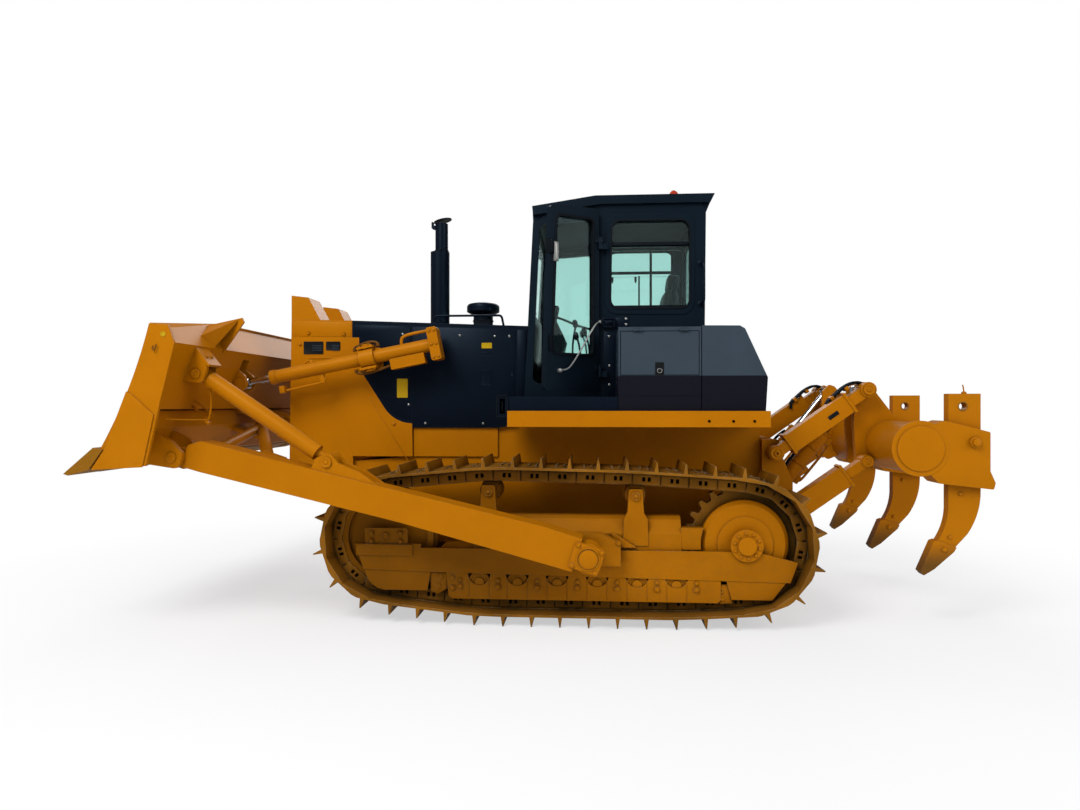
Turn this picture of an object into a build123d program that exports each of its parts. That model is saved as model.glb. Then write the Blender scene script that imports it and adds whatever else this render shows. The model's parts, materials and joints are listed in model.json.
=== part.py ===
"""Crawler bulldozer with a straight blade, an enclosed cab and a three-shank ripper.

Millimetres. +X is forward, +Y the machine's left, +Z up; Z = 0 is the ground. Inside this file X is
counted from the sprocket's axis, and every node is moved by SHIFT_X as it is written, so that the
assembly is centred on its origin.
"""
from build123d import *
import math
import os

SHIFT_X = -1525.5

# undercarriage
GAUGE_HALF = 1000.0        # track centre to machine centre
SHOE_W = 560.0
LINKS = 38
PIN_TO_SHOE = 58.0         # pin line to the shoe's inner face
SHOE_T = 18.0
GROUSER_H = 72.0
RAIL_H = 45.0              # pin line to the rail's running face
PIN_Z = 148.0              # pin line of the bottom run
SPROCKET = (0.0, 616.0, 434.0)
IDLER = (2760.0, 640.0, 410.0)
CARRIERS = ((1956.0, 1001.0, 125.0), (825.0, 978.0, 125.0))
ROLLER_X = (519.0, 815.0, 1118.0, 1423.0, 1729.0, 2024.0)
ROLLER_R = 109.0
COLLAR_R = 86.0              # end collars, seated against the frame's side walls
ROLLER_Z = PIN_Z + RAIL_H + 110.0
SPROCKET_HALF = 35.0       # half the sprocket's thickness
FRAME_IN = GAUGE_HALF - 150.0   # side walls of a track frame
FRAME_OUT = GAUGE_HALF + 150.0
FRAME_WALL = 30.0
FINAL_HUB_R = 112.0

# blade group, drawn with the cutting edge on the ground and then lifted about the arm trunnion
TRUNNION = (1184.0, 578.0)
LIFT_DEG = 18.0
BLADE_HALF = 1862.0
ARM_Y = (GAUGE_HALF + 380.0, GAUGE_HALF + 580.0)
STRUT_Y = (ARM_Y[0] + ARM_Y[1]) / 2
ARM_PIN = (3108.0, -264.0)   # front pin of the arm, in the blade group's own drawing
ARM_PIN_R = 30.0
FORK_T = 45.0
FORK_GAP = 5.0               # between the fork and the arm's side
LUG_T = 35.0
LUG_HALF = 55.0              # half the gap between a pair of lugs on a strut
ROD_EYE_HALF = 54.0
ROD_LUG_HALF = 60.0
RIDGE = (3212.0, 565.0)      # top rear edge of the blade's box beam
BLADE_TOP = 740.0
BLADE_END_TOP = 637.0
PLATE_T = 24.0
STRUT_FOOT = (2015.0, 55.0)
STRUT_HEAD = (3150.0, 368.0)
STRUT_PIN_R = 30.0
BRACE_APEX = (3090.0, -60.0, 300.0)   # u, w, y
PIN_GAP = 0.06               # radial play of a pin in its bore

# lift cylinders
YOKE = (3033.0, 2065.0)
LIFT_Y = 720.0
LIFT_EYE = (3174.0, 309.0)   # in the blade group's own drawing
BARREL_R = 57.0
ROD_R = 32.0
JOURNAL_R = 45.0
GUARD_OUT = 520.0            # outer face of the radiator guard and of the engine's side panels
BRACKET_Y = GUARD_OUT + 25.0

# ripper
RIP_UP_F = (-339.0, 1277.0)
RIP_UP_B = (-1066.0, 1794.0)
RIP_LO_F = (-330.0, 698.0)
RIP_LO_B = (-1057.0, 1215.0)
RIP_CYL_F = (-420.0, 980.0)
BEAM = (-1276.0, 1346.0, 195.0)
LINK_Y = (562.0, 692.0)
RIP_CYL_Y = 430.0
SHANK_Y = (-1043.0, 0.0, 1043.0)
SHANK_X = (-1505.0, -1738.0)
SHANK_HALF = 38.0
LUG_OUTER = (500.0, 560.0)   # plates that carry the links, on mount and beam
LUG_INNER = (320.0, 360.0)
BEAM_HALF = 1150.0

# cab
CAB_HALF = 660.0
CAB_WALL = 45.0
ROOF_HALF = 690.0
DOOR_GAP = 5.0               # between the closed door and the cab's side
DOOR_T = 40.0
DOOR_AXIS = (1092.0, CAB_HALF + DOOR_GAP + DOOR_T + 7.0)
DOOR_DEG = 47.0
HINGE_Z = (1950.0, 3000.0)

# hull, decks and boxes
STACK = (2550.0, 100.0)      # x, y of the muffler
STACK_TOP = 3330.0
FLAP_AXIS = (2618.0, 3339.0)
FLAP_DEG = 13.0
RAIL_IN = 440.0            # the main frame's side rails
RAIL_OUT = 480.0
FENDER_OUT = GAUGE_HALF + 200.0
BOX_OUT = FENDER_OUT - 50.0
LID_HINGE = (BOX_OUT + 12.0, 2240.0)   # y, z of the side box lid's hinge line

NODES = {}


def add(name, *shapes):
    NODES.setdefault(name, []).extend(shapes)


def box(x0, x1, y0, y1, z0, z1):
    return Solid.make_box(x1 - x0, y1 - y0, z1 - z0, Plane((x0, y0, z0)))


def outline(path, y):
    """Closed wire in the plane Y = y; a step is (x, z), or ((xm, zm), (x, z)) for an arc through xm, zm."""
    edges, start, here = [], None, None
    for step in list(path) + [path[0]]:
        arc = isinstance(step[0], tuple)
        end = step[1] if arc else step
        p = Vector(end[0], y, end[1])
        if here is None:
            start = p
        elif (p - here).length > 1e-6:
            if arc:
                edges.append(Edge.make_three_point_arc(here, Vector(step[0][0], y, step[0][1]), p))
            else:
                edges.append(Edge.make_line(here, p))
        here = p
    return Wire(edges)


def prism(path, y0, y1, holes=()):
    """Side view outline carried across from y0 to y1, with round holes (x, z, r)."""
    face = Face(outline(path, y0))
    solid = Solid.extrude(face, Vector(0, y1 - y0, 0))
    for x, z, r in holes:
        solid = solid - cyl((x, y0 - 5, z), (x, y1 + 5, z), r)
    return solid


def cyl(p, q, r):
    p, q = Vector(*p), Vector(*q)
    return Solid.make_cylinder(r, (q - p).length, Plane(p, z_dir=q - p))


def cone(p, q, r0, r1):
    p, q = Vector(*p), Vector(*q)
    return Solid.make_cone(r0, r1, (q - p).length, Plane(p, z_dir=q - p))


def hub(x, z, steps):
    """Round body about an axis along Y from (y, r) steps: radius r from this y up to the next."""
    out = None
    for (y0, r0), (y1, _) in zip(steps, steps[1:]):
        if r0:
            out = join(out, cyl((x, y0, z), (x, y1, z), r0))
    return out


def rounded(corners, r):
    """The closed path through corners (x, z), each rounded to radius r, or to its own as (x, z, radius)."""
    path = []
    for i, (px, pz, *own) in enumerate(corners):
        (ax, az), (bx, bz) = corners[i - 1][:2], corners[(i + 1) % len(corners)][:2]
        radius = own[0] if own else r
        if not radius:
            path.append((px, pz))
            continue
        da, db = math.hypot(ax - px, az - pz), math.hypot(bx - px, bz - pz)
        ux, uz, vx, vz = (ax - px) / da, (az - pz) / da, (bx - px) / db, (bz - pz) / db
        half = math.acos(max(-1.0, min(1.0, ux * vx + uz * vz))) / 2
        t = radius / math.tan(half)
        m = radius * (1 / math.sin(half) - 1) / math.hypot(ux + vx, uz + vz)
        path.append((px + ux * t, pz + uz * t))
        path.append(((px + (ux + vx) * m, pz + (uz + vz) * m), (px + vx * t, pz + vz * t)))
    return path


def spin(x, y, profile):
    """Body turned about a vertical axis from (radius, z) corners; a step may be an arc, as in outline."""
    steps = []
    for step in profile:
        if isinstance(step[0], tuple):
            (rm, zm), (r, z) = step
            steps.append(((x + rm, zm), (x + r, z)))
        else:
            steps.append((x + step[0], step[1]))
    return Solid.revolve(Face(outline(steps, y)), 360, Axis((x, y, 0), (0, 0, 1)))


def fin(p, q, r, t):
    """Three-cornered plate, t thick up and down."""
    corners = [Vector(*p), Vector(*q), Vector(*r)]
    return Solid.extrude(Face(Wire.make_polygon(corners, close=True)), Vector(0, 0, t))


def across(path, x0, x1):
    """Outline of (z, y) points in a cross plane, carried along the machine from x0 to x1."""
    edges, here = [], None
    for step in list(path) + [path[0]]:
        arc = isinstance(step[0], tuple)
        z, y = step[1] if arc else step
        p = Vector(x0, y, z)
        if here is not None and (p - here).length > 1e-6:
            if arc:
                edges.append(Edge.make_three_point_arc(here, Vector(x0, step[0][1], step[0][0]), p))
            else:
                edges.append(Edge.make_line(here, p))
        here = p
    return Solid.extrude(Face(Wire(edges)), Vector(x1 - x0, 0, 0))


def lengthwise(section, x0, x1):
    """Cross section (y, z) carried along the machine from x0 to x1."""
    face = Face(Wire.make_polygon([Vector(x0, y, z) for y, z in section], close=True))
    return Solid.extrude(face, Vector(x1 - x0, 0, 0))


def tube(points, r, bend):
    """Bent round bar through points, with corners of radius bend."""
    path = FilletPolyline(*points, radius=bend)
    return sweep(Plane(origin=path @ 0, z_dir=path % 0) * Circle(r), path=path).solid()


def pair(inner, outer):
    """The Y range from inner to outer on the machine's left, and the same on its right."""
    return (inner, outer), (-outer, -inner)


def join(a, *others):
    for b in others:
        a = b if a is None else a + b
    return a


def both(*shapes):
    """The shapes and their mirror images on the other side of the machine."""
    return [s for s in shapes] + [s.mirror(Plane.XZ) for s in shapes]


def turned(shape, centre, deg):
    """Turned about an axis along Y; positive lifts what is in front of the centre."""
    c = Vector(centre[0], 0, centre[1])
    return shape.rotate(Axis(c, (0, -1, 0)), deg)


def lifted(shape):
    return turned(shape, TRUNNION, LIFT_DEG)


def arm(u, w):
    """A point of the blade group's own drawing, counted from the trunnion."""
    return (TRUNNION[0] + u, TRUNNION[1] + w)


def arm_at(u, w):
    a = math.radians(LIFT_DEG)
    return (TRUNNION[0] + u * math.cos(a) - w * math.sin(a), TRUNNION[1] + u * math.sin(a) + w * math.cos(a))


# ---------------------------------------------------------------- undercarriage

def loop_circles():
    bend = ROLLER_Z - PIN_Z
    ends = [(x, ROLLER_Z, bend) for x in (ROLLER_X[0], ROLLER_X[-1])]
    return [*ends, IDLER, *CARRIERS, SPROCKET]


def loop(off):
    """The track's closed line at a distance off outside its pins: lines and arcs with their lengths."""
    circles = loop_circles()
    n = len(circles)
    normals = []
    for i in range(n):
        (x1, z1, r1), (x2, z2, r2) = circles[i], circles[(i + 1) % n]
        d, a = math.hypot(x2 - x1, z2 - z1), math.atan2(z2 - z1, x2 - x1)
        normals.append(a - math.pi / 2 + math.asin((r1 - r2) / d))
    segments = []
    for i in range(n):
        x, z, r = circles[i]
        r += off
        t0, t1 = normals[i - 1], normals[i]
        while t1 < t0:
            t1 += 2 * math.pi
        segments.append(("arc", (x, z, r, t0, t1), r * (t1 - t0)))
        x2, z2, r2 = circles[(i + 1) % n]
        r2 += off
        p = (x + r * math.cos(t1), z + r * math.sin(t1))
        q = (x2 + r2 * math.cos(t1), z2 + r2 * math.sin(t1))
        segments.append(("line", (p, q), math.dist(p, q)))
    return segments


def along(segments, s):
    """Point at a length s along the loop."""
    s %= sum(g[2] for g in segments)
    for kind, g, length in segments:
        if s <= length:
            if kind == "arc":
                x, z, r, t0, t1 = g
                t = t0 + (t1 - t0) * s / length
                return (x + r * math.cos(t), z + r * math.sin(t))
            (px, pz), (qx, qz) = g
            return (px + (qx - px) * s / length, pz + (qz - pz) * s / length)
        s -= length
    return along(segments, 0.0)


def loop_path(off):
    path = []
    for kind, g, _ in loop(off):
        if kind == "arc":
            x, z, r, t0, t1 = g
            tm = (t0 + t1) / 2
            first = (x + r * math.cos(t0), z + r * math.sin(t0))
            last = (x + r * math.cos(t1), z + r * math.sin(t1))
            path.append(first)
            path.append(((x + r * math.cos(tm), z + r * math.sin(tm)), last))
    return path


def shoe_path():
    """Outer and inner outline of the shoes, one straight plate with one grouser for each link."""
    segments = loop(0.0)
    total = sum(g[2] for g in segments)
    pins = [along(segments, total * (i + 0.35) / LINKS) for i in range(LINKS)]
    outer, inner = [], []
    for i in range(LINKS):
        (px, pz), (qx, qz) = pins[i], pins[(i + 1) % LINKS]
        d = math.hypot(qx - px, qz - pz)
        tx, tz = (qx - px) / d, (qz - pz) / d
        nx, nz = tz, -tx

        def at(t, n):
            return (px + tx * t * d + nx * n, pz + tz * t * d + nz * n)
        out = PIN_TO_SHOE + SHOE_T
        tip = out + GROUSER_H
        outer += [at(0.02, out), at(0.70, out), at(0.755, tip), at(0.795, tip), at(0.85, out), at(0.98, out)]
        inner += [at(0.5, PIN_TO_SHOE)]
    return outer, inner


def track():
    outer, inner = shoe_path()
    y0, y1 = GAUGE_HALF - SHOE_W / 2, GAUGE_HALF + SHOE_W / 2
    shoes = prism(outer, y0, y1) - prism(inner, y0 - 5, y1 + 5)
    for a, b in ((-100, -55), (55, 100)):
        rail = prism(loop_path(PIN_TO_SHOE + 1), GAUGE_HALF + a, GAUGE_HALF + b)
        rail = rail - prism(loop_path(-RAIL_H), GAUGE_HALF + a - 5, GAUGE_HALF + b + 5)
        shoes = shoes + rail
    return shoes


def sprocket():
    x, z, r = SPROCKET
    teeth = 25
    path = []
    for i in range(teeth):
        for da, rr in ((-0.30, r - 36), (-0.12, r + 14), (0.12, r + 14), (0.30, r - 36)):
            t = 2 * math.pi * (i + da) / teeth
            path.append((x + rr * math.cos(t), z + rr * math.sin(t)))
    return prism(path, GAUGE_HALF - SPROCKET_HALF, GAUGE_HALF + SPROCKET_HALF, [(x, z, 200)])


def final_drive():
    """Case, sprocket hub, domed cover and the outer bearing's hub and flange."""
    x, z, _ = SPROCKET
    g = GAUGE_HALF
    plate_out = FRAME_OUT + FRAME_WALL
    body = hub(x, z, ((RAIL_OUT, 200), (g - 270, 290), (g - SPROCKET_HALF, 200), (g + 45, 330), (g + 88, 0)))
    body = body + cone((x, g + 88, z), (x, g + 118, z), 330, 300) + cyl((x, g + 117, z), (x, g + 130, z), 208)
    return body + hub(x, z, ((g + 129, FINAL_HUB_R), (plate_out + 1, FINAL_HUB_R + 8), (plate_out + 22, 68),
                             (plate_out + 44, 0)))


def idler():
    x, z, r = IDLER
    rim = r - RAIL_H - 2
    g = GAUGE_HALF
    body = hub(x, z, ((g - 100, rim), (g - 50, rim + 22), (g + 50, rim), (g + 100, 0)))
    for y0, y1 in ((g - 105, g - 60), (g + 60, g + 105)):
        body = body - cyl((x, y0, z), (x, y1, z), rim - 45)
    return body + cyl((x, FRAME_IN + FRAME_WALL, z), (x, FRAME_OUT, z), 70)


def roller(x):
    g = GAUGE_HALF
    return hub(x, ROLLER_Z, ((FRAME_IN + FRAME_WALL, COLLAR_R), (g - 112, 126), (g - 101, ROLLER_R),
                             (g + 101, 126), (g + 112, COLLAR_R), (FRAME_OUT, 0)))


def carrier(x, z, r):
    g, rr = GAUGE_HALF, r - RAIL_H - 1
    return hub(x, z, ((g - 115, rr + 14), (g - 102, rr), (g + 54, rr - 8), (g + 72, 40), (g + 85, 0)))


def track_frame():
    """Box frame between two side plates, idler guides, recoil housing, roller guards and carrier brackets."""
    nose = [(2420, 381), (2930, 395), (3000, 595), (2480, 595), (2480, 565)]
    w0, w1 = FRAME_OUT, FRAME_OUT + FRAME_WALL
    hub_hole = [(SPROCKET[0], SPROCKET[1], FINAL_HUB_R + 1)]
    out = prism([(-377, 489), (-323, 338)] + nose + [(-80, 565)], w0, w1, hub_hole)
    out = out + prism([(420, 350)] + nose + [(420, 565)], FRAME_IN, FRAME_IN + FRAME_WALL)
    out = out + box(480, 2330, FRAME_IN + FRAME_WALL, FRAME_OUT, 432, 565)
    for y0, y1 in ((w0, w0 + 22), (FRAME_IN + 8, FRAME_IN + FRAME_WALL)):
        out = out + prism([(2400, 392), (2920, 396), ((2862, 275), (2733, 235)), (2430, 235)], y0, y1)
        plate = rounded([(2584, 590), (2922, 590), (2922, 714), (2584, 714)], 16)
        out = out + prism(plate, y0, y1, [(IDLER[0], 648, 26)])
    out = out + box(2542, 2985, w1 - 1, w1 + 12, 505, 590)
    half_housing = [(150, 560), (150, 690), (80, 790), (40, 812)]
    housing = half_housing + [(-y, z) for y, z in reversed(half_housing)]
    out = out + lengthwise([(GAUGE_HALF + y, z) for y, z in housing], 480, 2070)
    cover = box(300, 484, GAUGE_HALF + 60, w0 - 3, 572, 735)
    teeth_room = cyl((SPROCKET[0], GAUGE_HALF, SPROCKET[1]), (SPROCKET[0], w0 + 10, SPROCKET[1]), 336)
    out = out + (cover - teeth_room)
    for x, z, _ in CARRIERS:
        foot = rounded([(x - 95, 600, 0), (x + 95, 600, 0), (x + 90, 800), (x + 62, 850), (x + 50, z + 50),
                        (x - 50, z + 50), (x - 62, 850), (x - 90, 800)], 16)
        out = out + prism(foot, GAUGE_HALF + 85, FRAME_OUT + 10)
        out = out + cyl((x, FRAME_OUT, z), (x, FRAME_OUT + 22, z), 34)
    guard = [(190, 349), (2280, 384), (2262, 200), (2235, 177), (215, 177), (190, 200)]
    y0, y1 = FRAME_OUT + 3, FRAME_OUT + 25
    out = out + prism(guard, y0, y1, [(x, 372, 88) for x in ROLLER_X])
    rear = [(-300, 349), (150, 349), (110, 205), (-190, 205)]
    return out + prism(rear, y0, y1) + arm_mount()


def arm_mount():
    """Bracket on the frame's side that carries the push arm's journal."""
    x, z = TRUNNION
    block = [(x - 240, z + 60), (x - 240, z - 110), (x + 190, z - 110), (x + 190, z + 60), (x + 90, z + 130),
             (x - 90, z + 130)]
    out = prism(block, FRAME_OUT + FRAME_WALL - 1, ARM_Y[0] - 90)
    return out + cyl((x, ARM_Y[0] - 91, z), (x, ARM_Y[1] + 20, z), 70)


def undercarriage():
    t = track()
    add("track_left", t)
    add("track_right", t.mirror(Plane.XZ))
    add("track_frames", *both(track_frame()))
    add("sprockets", *both(sprocket()))
    add("idlers", *both(idler()))
    add("rollers", *both(*[roller(x) for x in ROLLER_X], *[carrier(*c) for c in CARRIERS]))
    add("final_drives", *both(final_drive()))


# ---------------------------------------------------------------- hull and hood

def main_frame():
    """Two deep side rails with belly plates, the rear case between them, pivot shaft and equalizer bar."""
    side = [(-250, 470), (3150, 470), (3230, 600), (3230, 1180), (2700, 1226), (2700, 1474), (1965, 1474),
            (1806, 1500), (1700, 1625), (-200, 1625), (-250, 1500)]
    out = prism(side, 440, 480) + prism(side, -480, -440)
    out = out + box(-210, 3150, -480, 480, 405, 470)
    out = out + box(-250, 330, -440, 440, 470, 1625)
    out = out + box(3150, 3230, -440, 440, 600, 1180)
    out = out + box(330, 1700, -440, 440, 1580, 1625)
    out = out + prism([(1965, 1226), (2700, 1226), (2700, 1474), (1965, 1474)], 480, 500)
    out = out + prism([(1965, 1226), (2700, 1226), (2700, 1474), (1965, 1474)], -500, -480)
    for x, z, r in ((600, 520, 85), (2000, 500, 60)):
        for s in (1, -1):
            out = out + cyl((x, 440 * s, z), (x, FRAME_IN * s, z), r)
    return out


def engine_block():
    """Plain block on four feet between the side rails."""
    out = box(1950, 2980, -330, 330, 1000, 2100)
    for x in (2050, 2800):
        for y0, y1 in ((330, 440), (-440, -330)):
            out = out + box(x, x + 90, y0, y1, 1020, 1100)
    return out


GUARD_SIDE = [(3230, 890), (3790, 890), (3795, 1238), (3777, 2418), (3237, 2404), (3237, 2256), (3175, 2255),
              (3175, 1990), (2950, 1644), ((2846, 1547), (2708, 1512)), (2704, 1226), (3230, 1226)]


def radiator_guard():
    """Side plates that sweep back over the engine, a thick front frame, a lower cross plate and a top plate."""
    y = GUARD_OUT - 40
    out = prism(GUARD_SIDE, y, GUARD_OUT) + prism(GUARD_SIDE, -GUARD_OUT, -y)
    front = prism([(3700, 1238), (3795, 1238), (3777, 2418), (3700, 2416)], -y, y)
    front = front - box(3600, 3900, -400, 400, 1330, 2330)
    out = out + front + prism([(3237, 2376), (3700, 2394), (3700, 2416), (3237, 2404)], -y, y)
    out = out + prism([(3740, 890), (3790, 890), (3795, 1240), (3745, 1240)], -y, y)
    return out + box(3230, 3700, -y, y, 1238, 1270)


def grille():
    out = None
    for i in range(9):
        z = 1350 + i * 115
        out = join(out, prism([(3722, z), (3730, z), (3772, z + 40), (3764, z + 40)], -400, 400))
    for y in (-200, 0, 200):
        out = out + box(3700, 3727, y - 15, y + 15, 1330, 2330)
    return out


HOOD = [(1705, 2317), (3237, 2376), (3237, 2404), (1705, 2345)]


def hood():
    """Top plate with the bent guard rail beside the stack."""
    rail = tube([(2548, 400, 2385), (2532, 400, 2452), (1946, 400, 2452), (1922, 400, 2335)], 10, 30)
    return prism(HOOD, -GUARD_OUT, GUARD_OUT) + above_hood(rail)


def above_hood(shape):
    return shape - prism([(1705, 2000), (3237, 2000), HOOD[2], HOOD[3]], -GUARD_OUT, GUARD_OUT)


def engine_panels():
    path = [(1806, 1500), (1965, 1475), (2712, 1475), (2712, 1500), (2840, 1500), (3180, 1835), (3237, 2200),
            (3237, 2376), (1705 + 7, 2317 + 7 * 59 / 1532), (1748, 1626), (1806, 1626)]
    panel = prism(path, GUARD_OUT - 30, GUARD_OUT) - prism(GUARD_SIDE, GUARD_OUT - 50, GUARD_OUT + 10)
    return both(max(panel.solids(), key=lambda p: p.volume))


def exhaust():
    """Muffler body, outlet pipe, and the two ears of the flap's hinge."""
    x, y = STACK
    out = cyl((x, y, 2340), (x, y, 3071), 86) + cyl((x - 15, y, 3071), (x - 15, y, STACK_TOP), 58)
    fx, fz = FLAP_AXIS
    for a, b in ((y - 17, y - 9), (y + 9, y + 17)):
        lug = rounded([(x + 30, STACK_TOP - 60, 0), (fx + 9, STACK_TOP - 40), (fx + 9, fz + 9),
                       (fx - 9, fz + 9), (fx - 9, STACK_TOP - 12, 3), (x + 30, STACK_TOP - 20, 0)], 7)
        out = out + prism(lug, a, b, [(fx, fz, 4 + PIN_GAP)])
    return above_hood(out - cyl((x - 15, y, 3100), (x - 15, y, STACK_TOP + 10), 50))


def rain_cap():
    """Hinged flap over the stack's outlet, a little open."""
    x, y = STACK
    fx, fz = FLAP_AXIS
    flap = cyl((x - 27, y, STACK_TOP + 4), (x - 27, y, STACK_TOP + 10), 84)
    flap = flap + box(x - 20, fx, y - 8, y + 8, STACK_TOP + 4, STACK_TOP + 12)
    flap = flap + cyl((fx, y - 8, fz), (fx, y + 8, fz), 9)
    flap = flap + cyl((fx, y - 18, fz), (fx, y + 18, fz), 4)
    return turned(flap, FLAP_AXIS, -FLAP_DEG)


def pre_cleaner():
    """Neck and domed bowl."""
    return above_hood(spin(2166, 0, [(0, 2330), (90, 2330), (90, 2500), (150, 2531), (150, 2570),
                                     ((143, 2593), (118, 2606)), (60, 2620), (0, 2620)]))


def headlamps():
    """Two housings on the guard, each with two round lamps behind its open front."""
    path = [(3521, 2411.5), (3777, 2418), (3777, 2626), (3626, 2608)]
    pocket = [(3735, 2434), (3800, 2434), (3800, 2612), (3735, 2605)]
    out = prism(path, 250, GUARD_OUT) - prism(pocket, 262, GUARD_OUT - 12)
    for y in (322, 448):
        out = out + cone((3700, y, 2520), (3758, y, 2520), 40, 56)
    return both(out)


def hull():
    add("main_frame", main_frame())
    add("engine_block", engine_block())
    add("radiator_guard", radiator_guard())
    add("radiator_grille", grille())
    add("hood", hood())
    add("engine_panels", *engine_panels())
    add("exhaust_stack", exhaust())
    add("rain_cap", rain_cap())
    add("pre_cleaner", pre_cleaner())
    add("headlamps", *headlamps())


# ---------------------------------------------------------------- decks and tanks

def fenders():
    """Deck over each track with its outer beam and stiffeners."""
    y = FENDER_OUT - 30
    top = box(-174, 1804, RAIL_OUT, FENDER_OUT, 1600, 1625) + box(-174, 1804, y, FENDER_OUT, 1503, 1600)
    top = top + box(-174, -150, RAIL_OUT, y, 1503, 1600)
    for x in (200, 1000, 1600):
        top = top + box(x, x + 20, RAIL_OUT, y, 1520, 1600)
    return both(top)


def door_sills():
    """Raised dark sill under each door, and the step box at its front."""
    y = FENDER_OUT - 35
    step = prism(rounded([(1804, 1579), (1889, 1579), (1889, 1741), (1804, 1741)], 12), 700, y)
    step = step - box(1825, 1868, 720, y + 10, 1600, 1720)
    return both(box(962, 1804, 700, y - 5, 1625, 1733) + step)


def fuel_tank():
    path = [(326, 2274), (43, 2271), (5, 2248), (-164, 1878), (-149, 1625), (326, 1625)]
    middle = [(215, 2240), (43, 2240), (5, 2230), (-164, 1878), (-149, 1625), (215, 1625)]
    return prism(path, 670, BOX_OUT) + prism(path, -BOX_OUT, -670) + prism(middle, -670, 670)


def side_boxes():
    """Left: a hollow tool box, open in its upper outer wall. Right: the hydraulic tank."""
    left = box(332, 956, 700, BOX_OUT, 1625, 2265) - box(352, 936, 725, BOX_OUT - 25, 1650, 2245)
    left = left - box(345, 943, BOX_OUT - 50, BOX_OUT + 10, 1895, 2235)
    y, z = LID_HINGE
    for x in (450, 800):
        left = left + box(x, x + 20, BOX_OUT, y + 3, z + 1, z + 9) + cyl((x, y, z), (x + 20, y, z), 9)
        left = left - cyl((x - 5, y, z), (x + 25, y, z), 4.06)
    right = prism([(332, 1625), (956, 1625), (956, 2200), (900, 2265), (332, 2265)], -BOX_OUT, -700)
    return left, right


def box_door():
    y, z = LID_HINGE
    out = box(350, 938, BOX_OUT - 24, BOX_OUT, 1900, 2230)
    for x in (450, 800):
        for x0 in (x - 22, x + 22):
            out = out + cyl((x0, y, z), (x0 + 20, y, z), 9)
            out = out + box(x0, x0 + 20, BOX_OUT + 1, y, z - 12, z - 4)
            out = out + box(x0, x0 + 20, BOX_OUT - 15, BOX_OUT + 8, z - 16, z - 8)
        out = out + cyl((x - 20, y, z), (x + 40, y, z), 4)
    return out


def decks():
    add("fenders", *fenders())
    add("door_sills", *door_sills())
    add("fuel_tank", fuel_tank())
    add("side_boxes", *side_boxes())
    add("box_door", box_door())


# ---------------------------------------------------------------- cab

def front_x(z):
    return 1692.0 - (z - 2354.0) * 0.05


ROOF_LINE = [(front_x(3200), 3200), (1600, 3200), (1560, 3262), (1090, 3330), (262, 3330), (224, 3260)]
SIDE_WINDOW = [(350, 2466), (1010, 2466), (1000, 3200), (350, 3200)]


def cab_body():
    """Hollow cab with its door openings, side, front and rear windows, window rims and door hinges."""
    z0, wall = 1625, CAB_HALF - CAB_WALL
    outer = [(240, z0), (front_x(z0), z0)] + ROOF_LINE
    inner = [(285, z0 + 110), (front_x(z0) - 45, z0 + 110), (front_x(3180) - 45, 3180), (1560, 3225),
             (1090, 3300), (290, 3300), (270, 3240)]
    out = prism(outer, -CAB_HALF, CAB_HALF) - prism(inner, -wall, wall)
    opening = rounded([(1127, 1850), (1655, 1850), (1592, 3180), (1127, 3210)], 60)
    rim = rounded([(320, 2416), (1052, 2424), (1034, 3262), (320, 3262)], 105)
    window = rounded(SIDE_WINDOW, 80)
    for y0, y1 in pair(wall - 15, CAB_HALF + 40):
        out = out - prism(opening, y0, y1)
    for y0, y1 in pair(CAB_HALF - 1, CAB_HALF + 8):
        out = out + prism(rim, y0, y1)
    for y0, y1 in pair(wall - 15, CAB_HALF + 40):
        out = out - prism(window, y0, y1)
    for x0, x1 in ((1600, 1760), (200, 320)):
        out = out - across(end_pane(0), x0, x1)
    x, y = DOOR_AXIS
    for s in (1, -1):
        for z in HINGE_Z:
            a, b = sorted(((CAB_HALF - 5) * s, (y + 5) * s))
            out = out + box(x - 60, x - 8, a, b, z - 50, z - 2)
            out = out + cyl((x, y * s, z - 50), (x, y * s, z - 2), 20)
            out = out + cyl((x, y * s, z - 3), (x, y * s, z + 46), 12)
    return out


def end_pane(gap):
    """Outline (z, y) of the front and rear windows, less a gap all round."""
    y, z0, z1 = CAB_HALF - 90 - gap, 2440 + gap, 3160 - gap
    return rounded([(z0, y), (z0, -y), (z1, -y), (z1, y)], 70)


def cab_glass():
    """Side panes with their cross bar seated in the glass, and the front and rear panes."""
    x0, x1 = CAB_HALF - CAB_WALL + 15, CAB_HALF - CAB_WALL + 21
    side = both(prism(rounded(SIDE_WINDOW, 80), x0, x1) + box(352, 1002, x0 - 6, x1 + 8, 2948, 2978))
    lean = math.degrees(math.atan(0.05))
    front = across(end_pane(0.5), 0, 6).rotate(Axis((0, 0, 2354), (0, 1, 0)), -lean)
    front = front.moved(Location((front_x(2354) - 30, 0, 0)))
    rear = across(end_pane(0), 252, 258)
    return side + [front, rear]


def cab_roof():
    """Roof slab with its overhang, and the narrower brow over the front window."""
    slab = [(156, 3402), (192, 3330), (1090, 3330), (1560, 3262), (1647, 3249), (1655, 3324), (1130, 3402)]
    brow = [(1560, 3262), (1600, 3200), (front_x(3200), 3200), (1655, 3324), (1560, 3300)]
    skirt = [(192, 3330), (221, 3260), (224, 3260), (262, 3330)]
    half = CAB_HALF - 10
    return prism(slab, -ROOF_HALF, ROOF_HALF) + prism(brow, -half, half) + prism(skirt, -half, half)


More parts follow.
